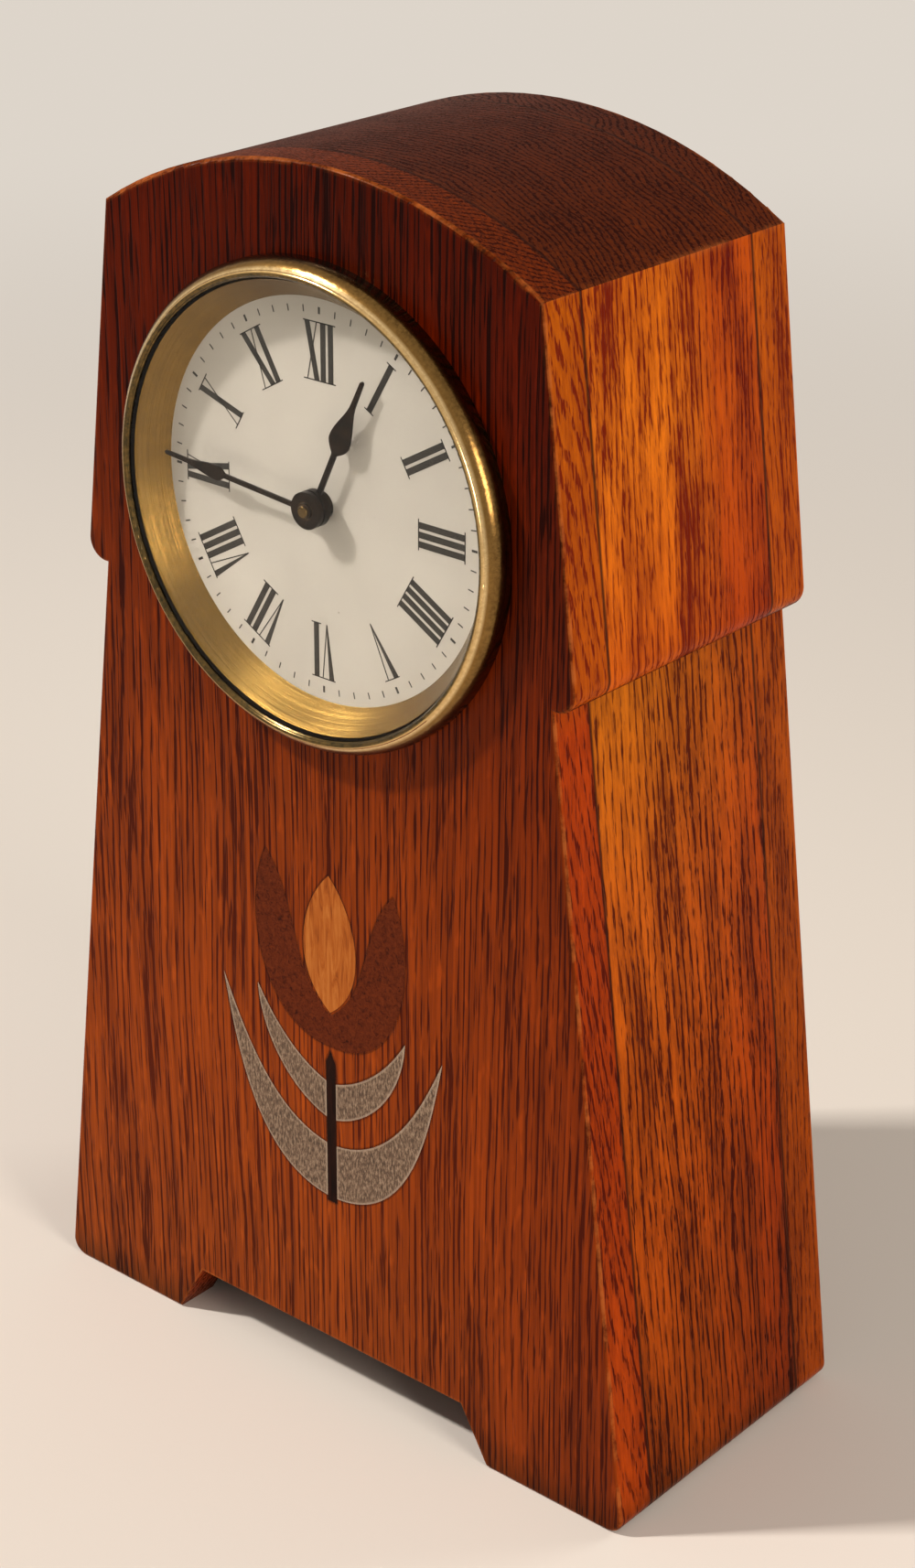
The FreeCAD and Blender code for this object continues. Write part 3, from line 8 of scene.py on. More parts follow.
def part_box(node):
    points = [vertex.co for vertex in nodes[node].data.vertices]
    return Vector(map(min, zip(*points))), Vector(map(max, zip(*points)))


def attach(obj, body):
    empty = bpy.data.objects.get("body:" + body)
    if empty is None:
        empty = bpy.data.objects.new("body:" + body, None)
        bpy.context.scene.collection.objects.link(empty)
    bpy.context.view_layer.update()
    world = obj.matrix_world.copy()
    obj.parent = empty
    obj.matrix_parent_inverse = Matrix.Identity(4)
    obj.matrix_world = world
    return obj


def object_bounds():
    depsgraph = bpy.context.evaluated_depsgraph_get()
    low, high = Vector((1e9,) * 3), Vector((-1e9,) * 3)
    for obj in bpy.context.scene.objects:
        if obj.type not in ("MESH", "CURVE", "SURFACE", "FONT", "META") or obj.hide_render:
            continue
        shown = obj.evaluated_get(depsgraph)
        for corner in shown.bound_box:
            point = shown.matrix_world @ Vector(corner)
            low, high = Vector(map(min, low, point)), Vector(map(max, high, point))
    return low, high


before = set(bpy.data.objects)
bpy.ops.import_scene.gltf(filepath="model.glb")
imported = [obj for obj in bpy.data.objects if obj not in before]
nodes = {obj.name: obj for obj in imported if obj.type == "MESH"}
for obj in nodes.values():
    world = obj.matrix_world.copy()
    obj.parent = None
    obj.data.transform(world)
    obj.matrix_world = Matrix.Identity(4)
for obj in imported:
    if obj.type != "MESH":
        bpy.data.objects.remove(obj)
cad_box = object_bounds()

# The photograph's camera stands 40 degrees round to the clock's right and looks down at it from 25
# degrees, so that the front, the right side and the top all show. Angles are in radians, places in
# metres, and the lens and its film's long side in mm.
camera_turn = 0.70343
camera_rise = 0.43440
camera_roll = 0.005624
camera_place = (0.37171, -0.43424, 0.39183)
focal_length = 71.52
film_length = 36
near_limit = 0.01
toward_viewer = Vector((math.sin(camera_turn) * math.cos(camera_rise),
                        -math.cos(camera_turn) * math.cos(camera_rise), math.sin(camera_rise)))
level_right = Vector((math.cos(camera_turn), math.sin(camera_turn), 0))
level_up = toward_viewer.cross(level_right)
camera_right = level_right * math.cos(camera_roll) + level_up * math.sin(camera_roll)
camera_up = level_up * math.cos(camera_roll) - level_right * math.sin(camera_roll)
camera_facing = Matrix((camera_right, camera_up, toward_viewer)).transposed().to_4x4()
lens = bpy.data.cameras.new("camera")
lens.lens = focal_length
lens.sensor_width = film_length
lens.clip_start = near_limit
camera = bpy.data.objects.new("camera", lens)
camera.matrix_world = Matrix.Translation(camera_place) @ camera_facing
bpy.context.scene.collection.objects.link(camera)
bpy.context.scene.camera = camera

# The stage is one large sheet of plain pale paper, laid flat under the clock. It is matt and slightly
# warm, so it gives no highlight and holds only the clock's soft shadow. Sizes are in metres.
paper_colour = "#e8dfd4"
paper_brightness = 0.9
paper_reach = 8.0
shadow_reach = 0.25
plain_from = 1.1
fibre_size = 0.00111
fibre_lift = 0.0002


def shade(hex_colour):
    """An sRGB hex colour as linear red, green, blue and alpha."""
    parts = [int(hex_colour[place:place + 2], 16) / 255 for place in (1, 3, 5)]
    linear = [part / 12.92 if part <= 0.04045 else ((part + 0.055) / 1.055) ** 2.4 for part in parts]
    return (*linear, 1)


def add(tree, kind, inputs=None, stops=None, span=None, **settings):
    """Add one shader node with its settings and give its outputs.

    inputs are values or links by a socket's place or name, stops are a ramp's places and colours,
    and span is the range that a value is mapped from and then the range it is mapped to.
    """
    made = tree.nodes.new("ShaderNode" + kind)
    for name, value in settings.items():
        setattr(made, name, value)
    for name, value in {**(inputs or {}), **dict(enumerate(span or (), 1))}.items():
        socket = made.inputs[name]
        if isinstance(value, bpy.types.NodeSocket):
            tree.links.new(value, socket)
        else:
            socket.default_value = value
    if stops:
        band = made.color_ramp.elements
        while len(band) < len(stops):
            band.new(1)
        for element, (place, colour) in zip(band, stops):
            element.position = place
            element.color = colour if isinstance(colour, tuple) else (colour, colour, colour, 1)
    return made.outputs


def new_finish(name):
    """A new empty material and its node tree."""
    material = bpy.data.materials.new(name)
    material.use_nodes = True
    material.node_tree.nodes.clear()
    return material, material.node_tree


def looked_at(tree):
    """1 for what the camera sees by itself, in a reflection or through glass, and 0 for light."""
    ray = add(tree, "LightPath")
    share = ray["Is Camera Ray"]
    for way in ("Is Glossy Ray", "Is Transmission Ray"):
        share = add(tree, "Math", {0: share, 1: ray[way]}, operation="MAXIMUM")[0]
    return share


# Real paper fibres are finer: these are drawn about 1 mm long, as coarse as the view can hold
paper, tree = new_finish("matt_paper")
place = add(tree, "TexCoord")["Object"]
fibres = add(tree, "TexNoise", {"Vector": place, "Scale": 1 / fibre_size, "Detail": 2})[0]
skin = add(tree, "Bump", {"Height": fibres, "Strength": 0.05, "Distance": fibre_lift})[0]
paper_surface = add(tree, "BsdfPrincipled", {"Base Color": shade(paper_colour), "Roughness": 0.9,
                                             "Specular IOR Level": 0.1, "Normal": skin})[0]
# Away from the clock's shadow the paper keeps one pale tone up to the horizon
away = add(tree, "VectorMath", {0: place}, operation="LENGTH")["Value"]
far_off = add(tree, "MapRange", {0: away}, span=(shadow_reach, plain_from, 0, 1),
              interpolation_type="SMOOTHSTEP")[0]
tone_share = add(tree, "Math", {0: looked_at(tree), 1: far_off}, operation="MULTIPLY")[0]
tone_light = add(tree, "Emission", {"Color": shade(paper_colour), "Strength": paper_brightness})[0]
paper_mix = add(tree, "MixShader", {0: tone_share, 1: paper_surface, 2: tone_light})[0]
add(tree, "OutputMaterial", {"Surface": paper_mix})
sheet_mesh = bpy.data.meshes.new("paper_sweep")
sheet_mesh.from_pydata([(-paper_reach, -paper_reach, 0), (paper_reach, -paper_reach, 0),
                        (paper_reach, paper_reach, 0), (-paper_reach, paper_reach, 0)],
                       [], [(0, 1, 2, 3)])
sheet_mesh.materials.append(paper)
sheet = bpy.data.objects.new("paper_sweep", sheet_mesh)
bpy.context.scene.collection.objects.link(sheet)

# The studio light is plain and soft: a pale room fills the shadows, a small lamp high on the left in
# front draws the highlights, a broad warmer one rakes the right side as in the photograph, and a third
# lights the back. Places and sizes are in metres.
room_brightness = 0.25
lamp_aim = Vector((0, 0, 0.13))
lamps = (  # name, place, width, height, watts, colour
    ("lamp_left", (-0.66, -0.62, 1.07), 0.08, 0.08, 14.5, "#fffaf5"),
    ("lamp_right", (1.06, -0.28, 0.48), 0.35, 0.5, 7.2, "#fff4ea"),
    ("lamp_behind", (0.75, 1.3, 0.85), 0.7, 0.7, 6.5, "#fffcf8"))
room = bpy.data.worlds.new("room")
room.use_nodes = True
bpy.context.scene.world = room
bpy.context.scene.view_settings.view_transform = "Standard"
tree = room.node_tree
tree.nodes.clear()
room_light = add(tree, "Background", {"Color": shade("#f4efe9"), "Strength": room_brightness})[0]
room_wall = add(tree, "Background", {"Color": shade(paper_colour), "Strength": paper_brightness})[0]
room_mix = add(tree, "MixShader", {0: looked_at(tree), 1: room_light, 2: room_wall})[0]
add(tree, "OutputWorld", {"Surface": room_mix})
for name, place, width, height, watts, colour in lamps:
    lamp = bpy.data.lights.new(name, "AREA")
    lamp.shape = "RECTANGLE"
    lamp.size = width
    lamp.size_y = height
    lamp.energy = watts
    lamp.color = shade(colour)[:3]
    held = bpy.data.objects.new(name, lamp)
    held.location = place
    held.rotation_euler = (Vector(place) - lamp_aim).to_track_quat("Z", "Y").to_euler()
    bpy.context.scene.collection.objects.link(held)

# The case boards: open-pored brown oak, stained, filled and French polished, so the grain stays dark
# and sharp under a thin dulled film. The boards are glued in a stack from front to back, and their
# joints show as fine dark lines. The wood runs upright in each, so the top shows end grain.
case_height = round(cad_box[1][2] * 1000)
dulled_polish = {"IOR": 1.45, "Specular IOR Level": 0.04, "Coat Weight": 0.03, "Coat Roughness": 0.12,
                 "Coat IOR": 1.35}
glue_colour = "#260c03"
seam_colour = "#1e0a04"
bare_edge_colour = "#b8622a"


def dress(names, material):
    """Give CAD nodes, by name, a finish."""
    for name in names:
        slots = nodes[name].data.materials
        slots.clear()
        slots.append(material)


def in_mm(tree):
    """A point's place in the clock's own frame, in mm."""
    place = add(tree, "TexCoord")["Object"]
    return add(tree, "VectorMath", {0: place, "Scale": 1000}, operation="SCALE")[0]


def start_board(name):
    """A board's new finish, with its places in mm and which way its faces look, each from 0 to 1."""
    board = SimpleNamespace()
    board.material, tree = new_finish(name)
    board.tree = tree
    board.mm = in_mm(tree)
    board.spot = add(tree, "SeparateXYZ", {0: board.mm})
    facing = add(tree, "SeparateXYZ", {0: add(tree, "TexCoord")["Normal"]})
    sideways, upward, board.square_on = (add(tree, "Math", {0: facing[axis]}, operation="ABSOLUTE")[0]
                                         for axis in "XZY")
    board.sideways = add(tree, "MapRange", {0: sideways}, span=(0.72, 0.82, 0, 1))[0]
    board.end_grain = add(tree, "MapRange", {0: upward}, span=(0.55, 0.75, 0, 1))[0]
    board.face_on = add(tree, "Math", {0: 1.0, 1: board.sideways}, operation="SUBTRACT")[0]
    return board


def grow_rings(board, heart, ring_width):
    """Lay the board's wandering grain and its year rings round the tree's heart."""
    # The grain wanders by up to 2.5 mm, in bends 33 mm wide and 111 mm long
    bend_size = (33.3, 33.3, 111)
    bend_depth = (5, 5, 0)
    tree = board.tree
    slow = add(tree, "VectorMath", {0: board.mm, 1: bend_size}, operation="DIVIDE")[0]
    bends = add(tree, "TexNoise", {"Vector": slow, "Scale": 1, "Detail": 1})["Color"]
    centred = add(tree, "VectorMath", {0: bends, 1: (0.5, 0.5, 0.5)}, operation="SUBTRACT")[0]
    sway = add(tree, "VectorMath", {0: centred, 1: bend_depth}, operation="MULTIPLY")[0]
    board.grain = add(tree, "VectorMath", {0: board.mm, 1: sway}, operation="ADD")[0]
    # Good and bad years shift the rings by up to 4.5 rings
    growth_size = (11.1, 11.1, 500)
    growth_drift = 4.5
    patches = add(tree, "VectorMath", {0: board.mm, 1: growth_size}, operation="DIVIDE")[0]
    board.uneven = add(tree, "TexNoise", {"Vector": patches, "Scale": 1, "Detail": 3})[0]
    drift = add(tree, "Math", {0: board.uneven, 1: growth_drift}, operation="MULTIPLY")[0]
    from_heart = add(tree, "VectorMath", {0: board.grain, 1: (*heart, 0)}, operation="SUBTRACT")[0]
    across = add(tree, "VectorMath", {0: from_heart, 1: (1, 1, 0)}, operation="MULTIPLY")[0]
    reach = add(tree, "VectorMath", {0: across}, operation="LENGTH")["Value"]
    years = add(tree, "Math", {0: reach, 1: 1 / ring_width, 2: drift}, operation="MULTIPLY_ADD")[0]
    season = add(tree, "Math", {0: years}, operation="FRACT")[0]
    # The dark spring wood fills about a third of each ring
    board.spring_wood = add(tree, "ValToRGB", {0: season},
                            stops=[(0.0, 0.0), (0.1, 1.0), (0.3, 0.9), (0.5, 0.1), (1.0, 0.0)])[0]


def draw_fibres(board):
    """Add broad streaks, where the wood grew faster or took more stain, and the fine fibres."""
    streak_size = (9.1, 9.1, 91)
    # Real fibres are too fine to see: these are 0.9 mm bundles, the coarsest that still read as fibre
    bundle_size = (0.909, 0.909, 83.3)
    tree = board.tree
    stretched = add(tree, "VectorMath", {0: board.grain, 1: streak_size}, operation="DIVIDE")[0]
    board.streaks = add(tree, "TexNoise", {"Vector": stretched, "Scale": 1, "Detail": 4,
                                           "Roughness": 0.6})[0]
    stretched = add(tree, "VectorMath", {0: board.grain, 1: bundle_size}, operation="DIVIDE")[0]
    board.fibres = add(tree, "TexNoise", {"Vector": stretched, "Scale": 1, "Detail": 5,
                                          "Roughness": 0.7})[0]


def open_pores(board, pore_length, pore_rows):
    """Add long dark pores, close in the spring wood and few where the wood grew fast."""
    # Drawn as wide as the widest real pores, about 0.4 mm, so that they show
    pore_size = (0.5, 0.5, pore_length)
    thinning = 0.35
    edge_softness = 0.11
    first_pore = 0.325 + pore_rows / 2
    tree = board.tree
    stretched = add(tree, "VectorMath", {0: board.grain, 1: pore_size}, operation="DIVIDE")[0]
    lift = add(tree, "TexNoise", {"Vector": stretched, "Scale": 1, "Detail": 2, "Roughness": 0.5})[0]
    lift = add(tree, "Math", {0: board.spring_wood, 1: pore_rows, 2: lift}, operation="MULTIPLY_ADD")[0]
    lift = add(tree, "Math", {0: board.streaks, 1: -thinning, 2: lift}, operation="MULTIPLY_ADD")[0]
    board.pores = add(tree, "MapRange", {0: lift}, span=(first_pore, first_pore + edge_softness, 0, 1))[0]


def wood_tone(board, streak, line_depth, pore_depth):
    """How pale the wood is, from 0 in the dark lines and pores to 1 in the palest wood."""
    middle_tone = 0.62
    fibre_depth = 0.32
    tree = board.tree
    hair = add(tree, "MapRange", {0: board.fibres}, span=(0.3, 0.7, -fibre_depth, fibre_depth))[0]
    # The end grain shows the streaks only faintly
    patch = add(tree, "MapRange", {0: board.streaks}, span=(0.32, 0.68, -streak, streak))[0]
    even = add(tree, "Math", {0: board.end_grain, 1: -0.75, 2: 1.0}, operation="MULTIPLY_ADD")[0]
    patch = add(tree, "Math", {0: patch, 1: even}, operation="MULTIPLY")[0]
    # Ray flecks: pale slashes, 1.7 mm wide and 8.3 mm long, that lean across the grain
    fleck_lean = (0.45, 0.45, 0)
    fleck_width = 1.667
    fleck_length = 8.33
    fleck_way = add(tree, "Mapping", {0: board.mm, "Rotation": fleck_lean,
                                      "Scale": (1 / fleck_width, 1 / fleck_width, 1 / fleck_length)})[0]
    flecks = add(tree, "TexNoise", {"Vector": fleck_way, "Scale": 1, "Detail": 2})[0]
    flecks = add(tree, "MapRange", {0: flecks}, span=(0.6, 0.72, 0, 0.3))[0]
    tone = add(tree, "Math", {0: hair, 1: middle_tone}, operation="ADD")[0]
    tone = add(tree, "Math", {0: tone, 1: patch}, operation="ADD")[0]
    tone = add(tree, "Math", {0: flecks, 1: board.face_on, 2: tone}, operation="MULTIPLY_ADD")[0]
    # Ring lines are half as strong on the sides, and strongest on the end grain
    lines = add(tree, "Math", {0: board.sideways, 1: -0.5, 2: 1.0}, operation="MULTIPLY_ADD")[0]
    lines = add(tree, "Math", {0: board.end_grain, 1: 0.8, 2: lines}, operation="MULTIPLY_ADD")[0]
    lines = add(tree, "Math", {0: lines, 1: board.spring_wood}, operation="MULTIPLY")[0]
    for mark, depth in ((lines, line_depth), (board.pores, pore_depth)):
        tone = add(tree, "Math", {0: mark, 1: -depth, 2: tone}, operation="MULTIPLY_ADD",
                   use_clamp=True)[0]
    return tone


def stain_faces(board, tone, palettes):
    """The colours of front, sides and top: each has its own cut and took the stain in its own way."""
    tree = board.tree
    rise = add(tree, "Math", {0: board.spot["Z"], 1: 1 / case_height}, operation="MULTIPLY")[0]
    faces = []
    for palette in palettes:
        dark, pale = (add(tree, "ValToRGB", {0: rise},
                          stops=[(stop[0] / case_height, shade(stop[kind])) for stop in palette])[0]
                      for kind in (1, 2))
        faces.append(add(tree, "MixRGB", {0: tone, 1: dark, 2: pale})[0])
    body = add(tree, "MixRGB", {0: board.sideways, 1: faces[0], 2: faces[1]})[0]
    return add(tree, "MixRGB", {0: board.end_grain, 1: body, 2: faces[2]})[0]


def darken_part(board, body, axis, first, last, colour):
    """Darken the board along an axis, from a first to a last place in mm, with a drifting edge."""
    edge_drift = 30.0
    tree = board.tree
    drift = add(tree, "Math", {0: board.streaks, 1: edge_drift, 2: board.spot[axis]},
                operation="MULTIPLY_ADD")[0]
    share = add(tree, "MapRange", {0: drift},
                span=(first + edge_drift / 2, last + edge_drift / 2, 0, 0.75))[0]
    shown_on = board.sideways if axis == "Y" else board.face_on
    share = add(tree, "Math", {0: share, 1: shown_on}, operation="MULTIPLY")[0]
    return add(tree, "MixRGB", {0: share, 1: body, 2: shade(colour)}, blend_type="MULTIPLY")[0]


def cross_with_rays(board, body, spacing, colour):
    """On the end grain, rays cross the rings as a fine slanting net, with a spacing in mm."""
    slant_way = (0.42, 0.9, 0)
    waver = 1.5
    tree = board.tree
    slant = add(tree, "VectorMath", {0: board.mm, 1: slant_way}, operation="DOT_PRODUCT")["Value"]
    net = add(tree, "Math", {0: slant, 1: spacing}, operation="DIVIDE")[0]
    net = add(tree, "Math", {0: board.uneven, 1: waver, 2: net}, operation="MULTIPLY_ADD")[0]
    net = add(tree, "Math", {0: net}, operation="FRACT")[0]
    net = add(tree, "ValToRGB", {0: net}, stops=[(0.0, 0.0), (0.18, 0.6), (0.36, 0.0)])[0]
    net = add(tree, "Math", {0: net, 1: board.end_grain}, operation="MULTIPLY")[0]
    return add(tree, "MixRGB", {0: net, 1: body, 2: shade(colour)})[0]


def edge_nearness(tree, width, level, sharp, most):
    """From 0 on a flat face up to most at an edge, reaching in from it by a width in mm.

    An eased surface leaves the true one near an edge, and level and sharp are how far the two agree
    where the edge begins and where it is full.
    """
    eased = add(tree, "Bevel", {"Radius": width / 1000}, samples=4)[0]
    true_way = add(tree, "NewGeometry")["Normal"]
    agree = add(tree, "VectorMath", {0: eased, 1: true_way}, operation="DOT_PRODUCT")["Value"]
    return add(tree, "MapRange", {0: agree}, span=(level, sharp, 0, most))[0]


def wear_edges(board, body, edge_width, joints, let_in):
    """Handling has worn the stain from the edges, in places down to the bright wood."""
    tree = board.tree
    # A rounded edge shows as the band where the surface turns from the front's way to the side's
    turned_away = add(tree, "Math", {0: 1.0, 1: board.square_on}, operation="SUBTRACT")[0]
    turning = add(tree, "Math", {0: board.square_on, 1: turned_away}, operation="MULTIPLY")[0]
    rounded = add(tree, "MapRange", {0: turning}, span=(0.05, 0.15, 0, 1))[0]
    near_edge = edge_nearness(tree, edge_width, level=0.99, sharp=0.9, most=1)
    edge = add(tree, "Math", {0: near_edge, 1: rounded}, operation="MAXIMUM")[0]
    # Hands rub it off in patches of about 6 mm
    rub_size = 6.25
    rub = add(tree, "TexNoise", {"Vector": board.mm, "Scale": 1 / rub_size, "Detail": 5,
                                 "Roughness": 0.7})[0]
    rub = add(tree, "MapRange", {0: rub}, span=(0.42, 0.6, 0.08, 0.7))[0]
    wear = add(tree, "Math", {0: edge, 1: rub}, operation="MULTIPLY")[0]
    # A real glue line is finer: it is drawn 0.8 mm wide, so that it shows, and no edge is worn beside it
    for depth in joints:
        beside = add(tree, "Math", {0: board.spot["Y"], 1: depth}, operation="SUBTRACT")[0]
        beside = add(tree, "Math", {0: beside}, operation="ABSOLUTE")[0]
        glue_line = add(tree, "MapRange", {0: beside}, span=(0.15, 0.6, 0.85, 0))[0]
        body = add(tree, "MixRGB", {0: glue_line, 1: body, 2: shade(glue_colour)})[0]
        kept = add(tree, "MapRange", {0: beside}, span=(0.6, 1.6, 0, 1))[0]
        wear = add(tree, "Math", {0: wear, 1: kept}, operation="MULTIPLY")[0]
    if let_in:
        # Round the inlay the edge isn't worn: the glue has left a fine dark line there
        near = 1.0
        for axis, (low, high) in let_in.items():
            off_middle = add(tree, "Math", {0: board.spot[axis], 1: (low + high) / 2},
                             operation="SUBTRACT")[0]
            off_middle = add(tree, "Math", {0: off_middle}, operation="ABSOLUTE")[0]
            within = add(tree, "Math", {0: off_middle, 1: (high - low) / 2}, operation="LESS_THAN")[0]
            near = add(tree, "Math", {0: near, 1: within}, operation="MULTIPLY")[0]
        seam = add(tree, "Math", {0: near, 1: edge}, operation="MULTIPLY")[0]
        body = add(tree, "MixRGB", {0: seam, 1: body, 2: shade(seam_colour)})[0]
        clear_of = add(tree, "Math", {0: 1.0, 1: near}, operation="SUBTRACT")[0]
        wear = add(tree, "Math", {0: wear, 1: clear_of}, operation="MULTIPLY")[0]
    return add(tree, "MixRGB", {0: wear, 1: body, 2: shade(bare_edge_colour)})[0]


def stacked_oak(name, heart, ring_width, front, side, top, joints=(), hatched=0.0, streak=0.5,
                line_depth=0.3, pore_depth=0.75, pore_length=29.4, pore_rows=0.18, darkened=None,
                let_in=None, edge_width=2.2):
    """Polished oak, cut from a tree whose heart stands at an x and y in mm.

    front, side and top list each face's height in mm, line colour and wood colour. joints are the
    depths of the glue lines, hatched the spacing of the end grain's net, and let_in the reach of the
    inlay, all in mm. darkened is the axis, the first and last place in mm and the colour that the board
    is darkened by toward the last place. streak, line_depth, pore_depth and pore_rows are strengths from 0
    to 1.
    """
    board = start_board(name)
    tree = board.tree
    grow_rings(board, heart, ring_width)
    draw_fibres(board)
    open_pores(board, pore_length, pore_rows)
    body = stain_faces(board, wood_tone(board, streak, line_depth, pore_depth), (front, side, top))
    if darkened:
        body = darken_part(board, body, *darkened)
    if hatched:
        body = cross_with_rays(board, body, hatched, top[0][1])
    body = wear_edges(board, body, edge_width, joints, let_in)
    # The polish has sunk a little into the pores, which are duller, and so is the end grain
    sunk = add(tree, "Math", {0: board.pores, 1: -0.8, 2: board.fibres}, operation="MULTIPLY_ADD")[0]
    film = add(tree, "Bump", {"Height": sunk, "Strength": 0.3, "Distance": 0.0003})[0]
    rough = add(tree, "MapRange", {0: board.pores}, span=(0, 1, 0.28, 0.5))[0]
    rough = add(tree, "Math", {0: board.end_grain, 1: 0.3, 2: rough}, operation="MULTIPLY_ADD")[0]
    surface = add(tree, "BsdfPrincipled", {**dulled_polish, "Base Color": body, "Roughness": rough,
                                           "Normal": film})[0]
    add(tree, "OutputMaterial", {"Surface": surface})
    return board.material


joint_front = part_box("front_board")[1][1] * 1000
joint_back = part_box("back_board")[0][1] * 1000
inlaid = [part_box(name) for name in ("inlay_petals", "inlay_heart", "inlay_leaves", "inlay_buds",
                                    "inlay_stem")]
inlay_margin = 2
inlay_reach = {axis: (min(low[way] for low, high in inlaid) * 1000 - inlay_margin,
                      max(high[way] for low, high in inlaid) * 1000 + inlay_margin)
               for axis, way in (("X", 0), ("Z", 2))}
end_grain_colours = [(0, "#331000", "#8a4a16"), (236, "#300a00", "#6c2a00"), (260, "#240600", "#521c00")]
block_colours = [(170, "#661400", "#c85808"), (215, "#6e1a00", "#de7410"), (260, "#6a1600", "#d2680a")]
# Painted shade: the base board's near-black colours stand for the shade that falls under the case
painted_shade_colours = [(0, "#140b06", "#2c1a10"), (260, "#140b06", "#2c1a10")]
# The front board is cut across the rings at a slant, which gives close straight grain
dress(["front_board"], stacked_oak(
    "rift_cut_oak", heart=(-150, 105), ring_width=1.25, streak=0.18, line_depth=0.14, pore_depth=0.6,
    pore_length=14.3, darkened=("X", 10, 75, "#cfa690"),
    front=[(0, "#2c1004", "#78380e"), (9, "#4c1a06", "#a64a12"), (60, "#541a06", "#ae4c10"),
           (125, "#461404", "#a0420c"), (170, "#320a02", "#843006"), (215, "#200300", "#661a00"),
           (260, "#1a0200", "#541200")],
    side=[(0, "#300c00", "#742e08"), (9, "#4e1000", "#ae4004"), (165, "#500d00", "#b43e02"),
          (175, "#6c1a00", "#bc5604"), (260, "#6c1a00", "#c26204")],
    top=[(0, "#3c1200", "#8a4a16"), (236, "#3c0e00", "#903c00"), (260, "#300a00", "#742a00")],
    joints=(joint_front,), hatched=1.9, let_in=inlay_reach, edge_width=1))
# The block is cut flat along the rings, so its sides show broad streaks in a brighter brown
dress(["upper_block"], stacked_oak(
    "flat_cut_oak", heart=(18, -95), ring_width=1.5, streak=0.5, line_depth=0.2, pore_depth=0.5,
    darkened=("Y", -2, 12, "#c88a6c"), front=block_colours, side=block_colours, top=end_grain_colours,
    joints=(joint_front, joint_back)))
# The side boards show open pores in rows, and go darker toward the foot and the back
dress(["side_left", "side_right"], stacked_oak(
    "side_oak", heart=(85, 210), ring_width=2.0, streak=0.34, line_depth=0.2, pore_depth=0.6,
    pore_length=35.7, pore_rows=0.24, darkened=("Y", -10, 30, "#d08a66"),
    front=[(0, "#4a1a08", "#9a4a22"), (170, "#4a1a08", "#9a4a22")],
    side=[(0, "#240b00", "#6a2e08"), (9, "#360d00", "#9c4004"), (60, "#440f00", "#b84e06"),
          (130, "#501400", "#c65e0c"), (170, "#541a00", "#c66a0c")],
    top=end_grain_colours, joints=(joint_front, joint_back)))
# The back board is of plainer wood, with even grain
dress(["back_board"], stacked_oak(
    "back_oak", heart=(150, 210), ring_width=1.4, streak=0.3, line_depth=0.15, pore_depth=0.55,
    front=[(0, "#4a1a00", "#944508"), (130, "#461800", "#8c3e06"), (260, "#351000", "#733004")],
    side=[(0, "#4c1400", "#983e04"), (165, "#561800", "#ac4c04"), (175, "#661800", "#bc5404"),
          (260, "#681a00", "#be5a04")],
    top=end_grain_colours, joints=(joint_back,)))
# The base board under the movement is oak painted near-black as painted shade, for the deep shade
# under the case, so little of its grain shows
dress(["base_board"], stacked_oak(
    "painted_shade_oak", heart=(60, -150), ring_width=2.8, streak=0.3, front=painted_shade_colours,
    side=painted_shade_colours, top=painted_shade_colours))

# The inlay's wood: burr walnut petals, a pale pearwood heart and an ebony stem, sawn from thin veneer,
# glued into the front board and scraped flush. They lie under the board's own polish, so they show as
# changes of colour with only the glue's dark line between.


def inlaid_veneer(name, pale_colour, deep_colour, line_colour, figure_size):
    """Thin veneer with a close figure of a size in mm, filled and polished with the board around it."""
    material, tree = new_finish(name)
    swirl = 1.2
    stretched = add(tree, "VectorMath", {0: in_mm(tree), 1: figure_size}, operation="DIVIDE")[0]
    figure = add(tree, "TexNoise", {"Vector": stretched, "Scale": 1, "Detail": 5, "Roughness": 0.65,
                                    "Distortion": swirl})[0]
    body = add(tree, "ValToRGB", {0: figure}, stops=[(0.3, shade(line_colour)), (0.45, shade(deep_colour)),
                                                     (0.66, shade(pale_colour))])[0]
    film = add(tree, "Bump", {"Height": figure, "Strength": 0.15, "Distance": 0.0002})[0]
    surface = add(tree, "BsdfPrincipled", {**dulled_polish, "Base Color": body, "Roughness": 0.32,
                                           "Normal": film})[0]
    add(tree, "OutputMaterial", {"Surface": surface})
    return material


# Burr has small round eyes, while the straight-grained woods have long fine lines
dress(["inlay_petals"], inlaid_veneer("burr_walnut", "#6b2c10", "#56200b", "#2c0e05",
                                      (0.909, 0.909, 0.909)))
dress(["inlay_heart"], inlaid_veneer("pale_pearwood", "#c07232", "#a8581f", "#7c3a14",
                                     (1.429, 1.429, 11.9)))
dress(["inlay_stem"], inlaid_veneer("ebony", "#2a1008", "#1c0a05", "#0f0503", (1.25, 1.25, 12.5)))

# The inlay's leaves and buds: pewter sheet, a soft grey metal, sawn out and scraped back flush with the
# wood. The scraper has left a hatched, tarnished face that shines in short dull strokes. Sizes are in
# mm, and the hatching is about twice as coarse as a real scraper's lines, which wouldn't show.
hatch_lean = (0, 0.25, 0)
hatch_size = (0.4545, 1, 1.333)
bloom_size = 8.33
burr_width = 0.9
pewter, tree = new_finish("scraped_pewter")
mm = in_mm(tree)
hatch_way = add(tree, "Mapping", {0: mm, "Rotation": hatch_lean,
                                  "Scale": tuple(1 / size for size in hatch_size)})[0]
hatching = add(tree, "TexNoise", {"Vector": hatch_way, "Scale": 1, "Detail": 4, "Roughness": 0.7})[0]
body = add(tree, "ValToRGB", {0: hatching}, stops=[(0.4, shade("#33241a")), (0.5, shade("#705846")),
                                                   (0.62, shade("#a8917a"))])[0]
bloom = add(tree, "TexNoise", {"Vector": mm, "Scale": 1 / bloom_size, "Detail": 3})[0]
